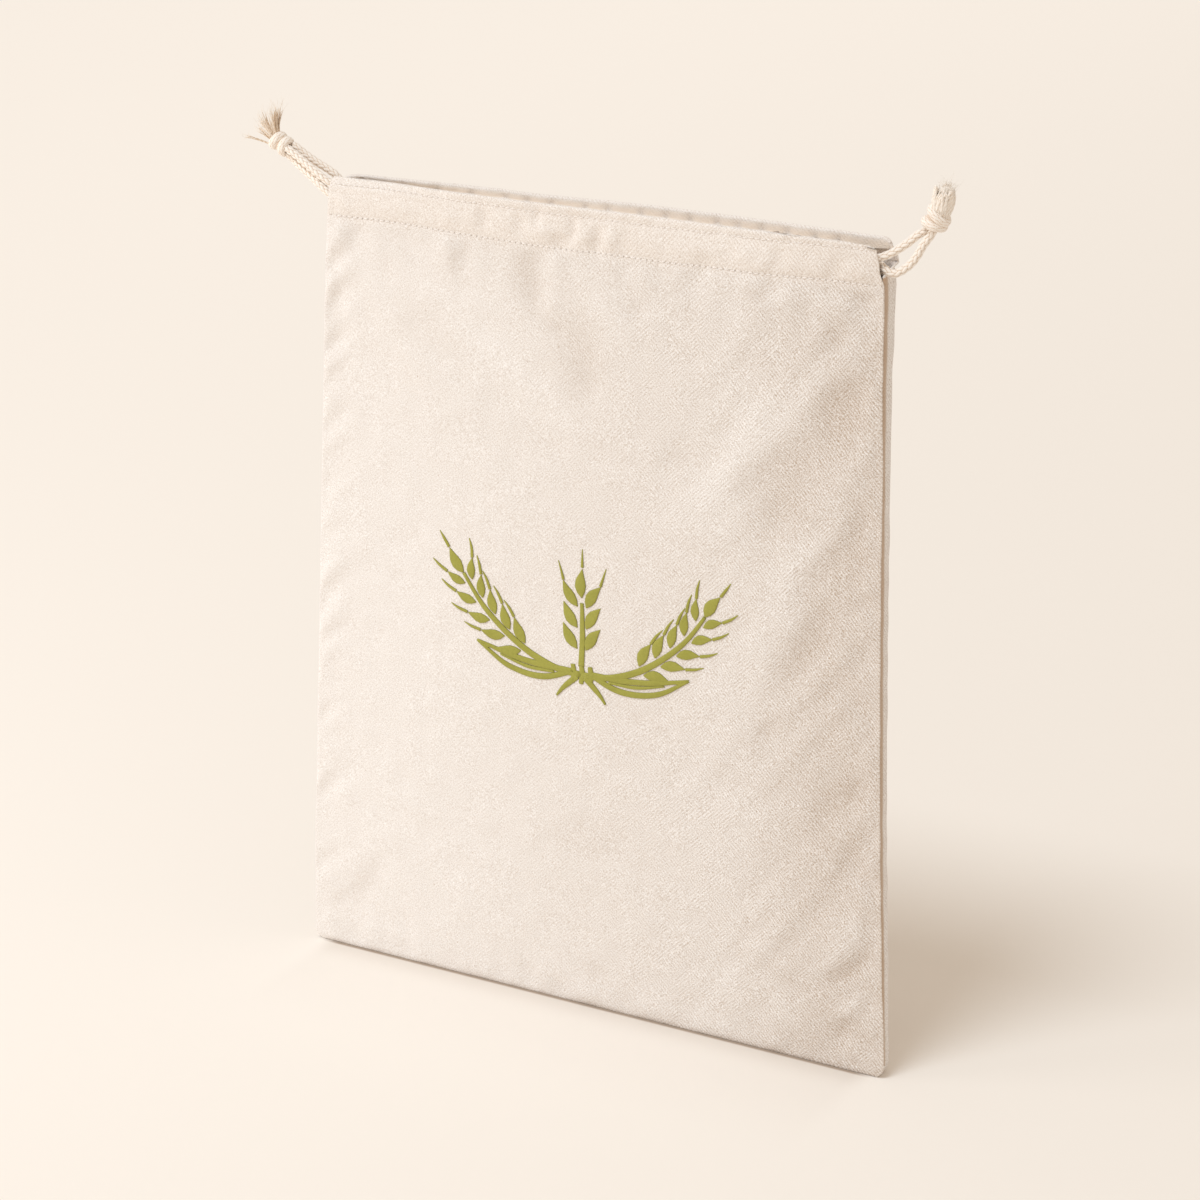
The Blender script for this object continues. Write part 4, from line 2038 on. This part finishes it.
@dataclass(frozen=True)
class Studio:
    """Pale seamless ground, soft light from the front left, and the camera."""
    azimuth: float = math.radians(28.42)
    elevation: float = math.radians(19.30)
    roll: float = math.radians(0.60)
    distance: float = 1.495
    target: Vector = Vector((0.0002, -0.0020, 0.1965))
    lens: float = 100.29
    key_azimuth: float = math.radians(-20.8)
    key_elevation: float = math.radians(62.5)
    key_angle: float = math.radians(21.5)
    key_strength: float = 1.24
    key_colour: tuple[float, float, float] = (0.96, 1.09, 1.22)
    side_from: Vector = Vector((-1.0, -0.7, 0.35))
    side_size: float = 0.6
    side_power: float = 3.8
    sky: Colour = colour(1.0, 0.890, 0.772)
    sky_strength: float = 0.695
    aim: Vector = Vector((0.0, 0.0, 0.19))
    ground_reach: float = 12.0

    def outward(self, azimuth: float, elevation: float) -> Vector:
        """Direction from the bag: azimuth turns from its front towards its right."""
        level = math.cos(elevation)
        return Vector((math.sin(azimuth) * level, -math.cos(azimuth) * level, math.sin(elevation)))

    def camera(self) -> None:
        """Place the camera on a sphere round the target, and turn it by the roll."""
        back = self.outward(self.azimuth, self.elevation)
        data = bpy.data.cameras.new("camera")
        data.sensor_width, data.sensor_fit, data.lens = 36.0, "HORIZONTAL", self.lens
        data.clip_start, data.clip_end = 0.05, 60.0
        camera = bpy.data.objects.new("camera", data)
        bpy.context.scene.collection.objects.link(camera)
        turn = (-back).to_track_quat("-Z", "Y").to_matrix() @ Matrix.Rotation(self.roll, 3, "Z")
        camera.matrix_world = Matrix.Translation(self.target + back * self.distance) @ turn.to_4x4()
        bpy.context.scene.camera = camera

    def ground(self, material: Material) -> None:
        """Lay a wide flat ground under the bag."""
        across = np.linspace(-self.ground_reach, self.ground_reach, 9)
        x, y = np.meshgrid(across, across + self.ground_reach / 2)
        points = np.stack([x, y, np.zeros_like(x)], -1).reshape(-1, 3)
        patch = Patch(points, grid_quads(*x.shape), np.ones(x.size))
        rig.stage(mesh_object("ground", patch, material))

    def light(self, name: str, data: bpy.types.Light, place: Vector) -> None:
        """Hang a light at a place and aim it at the bag."""
        lamp = bpy.data.objects.new(name, data)
        lamp.location = place
        lamp.rotation_mode = "QUATERNION"
        lamp.rotation_quaternion = (self.aim - place).to_track_quat("-Z", "Y")
        bpy.context.scene.collection.objects.link(lamp)

    def lights(self) -> None:
        """A wide soft key from the front left, a soft side light, and even light all round."""
        key = bpy.data.lights.new("key", "SUN")
        key.angle, key.energy, key.color = self.key_angle, self.key_strength, self.key_colour
        self.light("key", key, self.outward(self.key_azimuth, self.key_elevation) * 5)
        side = bpy.data.lights.new("side", "AREA")
        side.shape, side.size, side.energy = "DISK", self.side_size, self.side_power
        self.light("side", side, self.side_from)
        world = bpy.data.worlds.new("studio")
        world.use_nodes = True
        background = world.node_tree.nodes["Background"]
        background.inputs["Color"].default_value = self.sky
        background.inputs["Strength"].default_value = self.sky_strength
        bpy.context.scene.world = world

    def build(self) -> None:
        """Set the stage."""
        bpy.context.scene.view_settings.view_transform = "Standard"
        bpy.context.scene.view_settings.look = "None"
        self.camera()
        self.ground(GroundFinish().material("paper"))
        self.lights()


# ---------------------------------------------------------------- the whole bag


def settle(piece: Piece, slot: str, *nodes: str) -> Piece:
    """Let a piece ride on the bag's body, and report it.

    Args:
        piece: The piece.
        slot: Its slot.
        *nodes: The frame's nodes that it stands for.

    Returns:
        The piece.
    """
    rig.ride(piece, "root")
    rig.slot(piece, slot)
    if nodes:
        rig.replaces(piece, *nodes)
    LOG.info("%s: %d faces, slot %s", piece.name, len(piece.data.polygons), slot)
    return piece


@dataclass
class Drawstrings:
    """Both drawstrings with their knots and frayed ends."""
    shape: BagShape
    braided: Braid = field(default_factory=Braid)

    def build(self) -> None:
        """Make the knots and ends first, then the cords that they are on."""
        cotton = YarnFinish().material("braided_cotton")
        fan = YarnFinish(light=colour(0.93, 0.82, 0.69), dark=colour(0.56, 0.40, 0.26),
                         groove=(-0.1, 0.7)).material("fanned_cotton")
        tuft = YarnFinish(light=colour(0.895, 0.825, 0.745), dark=colour(0.76, 0.61, 0.48),
                          groove=(-0.1, 0.5)).material("tufted_cotton")
        ends = ((FanFray("left_fray", "tassel_left", LEFT_KNOT, 3, 0.30 * MM), fan),
                (TuftFray("right_fray", "tassel_right", RIGHT_KNOT, 8, 0.60 * MM), tuft))
        on_left, on_right = (
            [settle(end.knot.build(self.braided, cotton), "cord", end.knot.node),
             settle(end.build(finish), "cord", end.node)] for end, finish in ends)
        for strand, pieces in zip(strands(self.shape), (on_left, [], on_right)):
            settle(strand.build(self.braided, cotton, pieces), "cord", strand.node)


@dataclass
class SewnBag:
    """The two panels, their stitches and the print."""
    shape: BagShape

    def build(self) -> None:
        """Make the cloth first, then what lies on it."""
        s = self.shape
        front, back = FrontPanel(s), BackPanel(s)
        linen = LinenFinish(rows=(s.lower_row, s.upper_row)).material("linen")
        back_linen = LinenFinish(rows=(s.lower_row, s.upper_row + s.cloth)).material("back_linen")
        thread = YarnFinish(light=colour(0.90, 0.855, 0.82), dark=colour(0.70, 0.60, 0.52))
        cloth = settle(front.build(linen), "linen", "front_panel")
        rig.sheet(cloth, flat=(0.300, 0.402), held="hung", rests_on=["back_cloth"])
        tray = settle(back.build(back_linen), "linen", "back_panel")
        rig.sheet(tray, flat=(0.320, 0.415), held="hung", rests_on=["front_cloth"])
        for piece in Stitching(s, front, back).build(thread.material("thread")):
            settle(piece, "linen")
        settle(WheatPrint(front).build(InkFinish().material("olive_print")), "linen")


def write_sizes(frame_box: tuple[Vector, Vector]) -> None:
    """Write the frame's box and the dressed bag's box as plain lists."""
    sizes = {"cad": [list(corner) for corner in frame_box],
             "visual": [list(corner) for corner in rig.bounds()]}
    with open(SIZE_FILE, "w", encoding="utf-8") as out:
        json.dump(sizes, out)


def main() -> None:
    """Load the frame and dress it: studio and cords first, then the sewn bag."""
    logging.basicConfig(level=logging.INFO, format="%(name)s: %(message)s")
    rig.load()
    frame_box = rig.bounds()
    shape = BagShape(height=round(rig.box("front_panel")[1].z, 4))
    Studio().build()
    Drawstrings(shape).build()
    SewnBag(shape).build()
    write_sizes(frame_box)


if __name__ == "__main__":
    main()
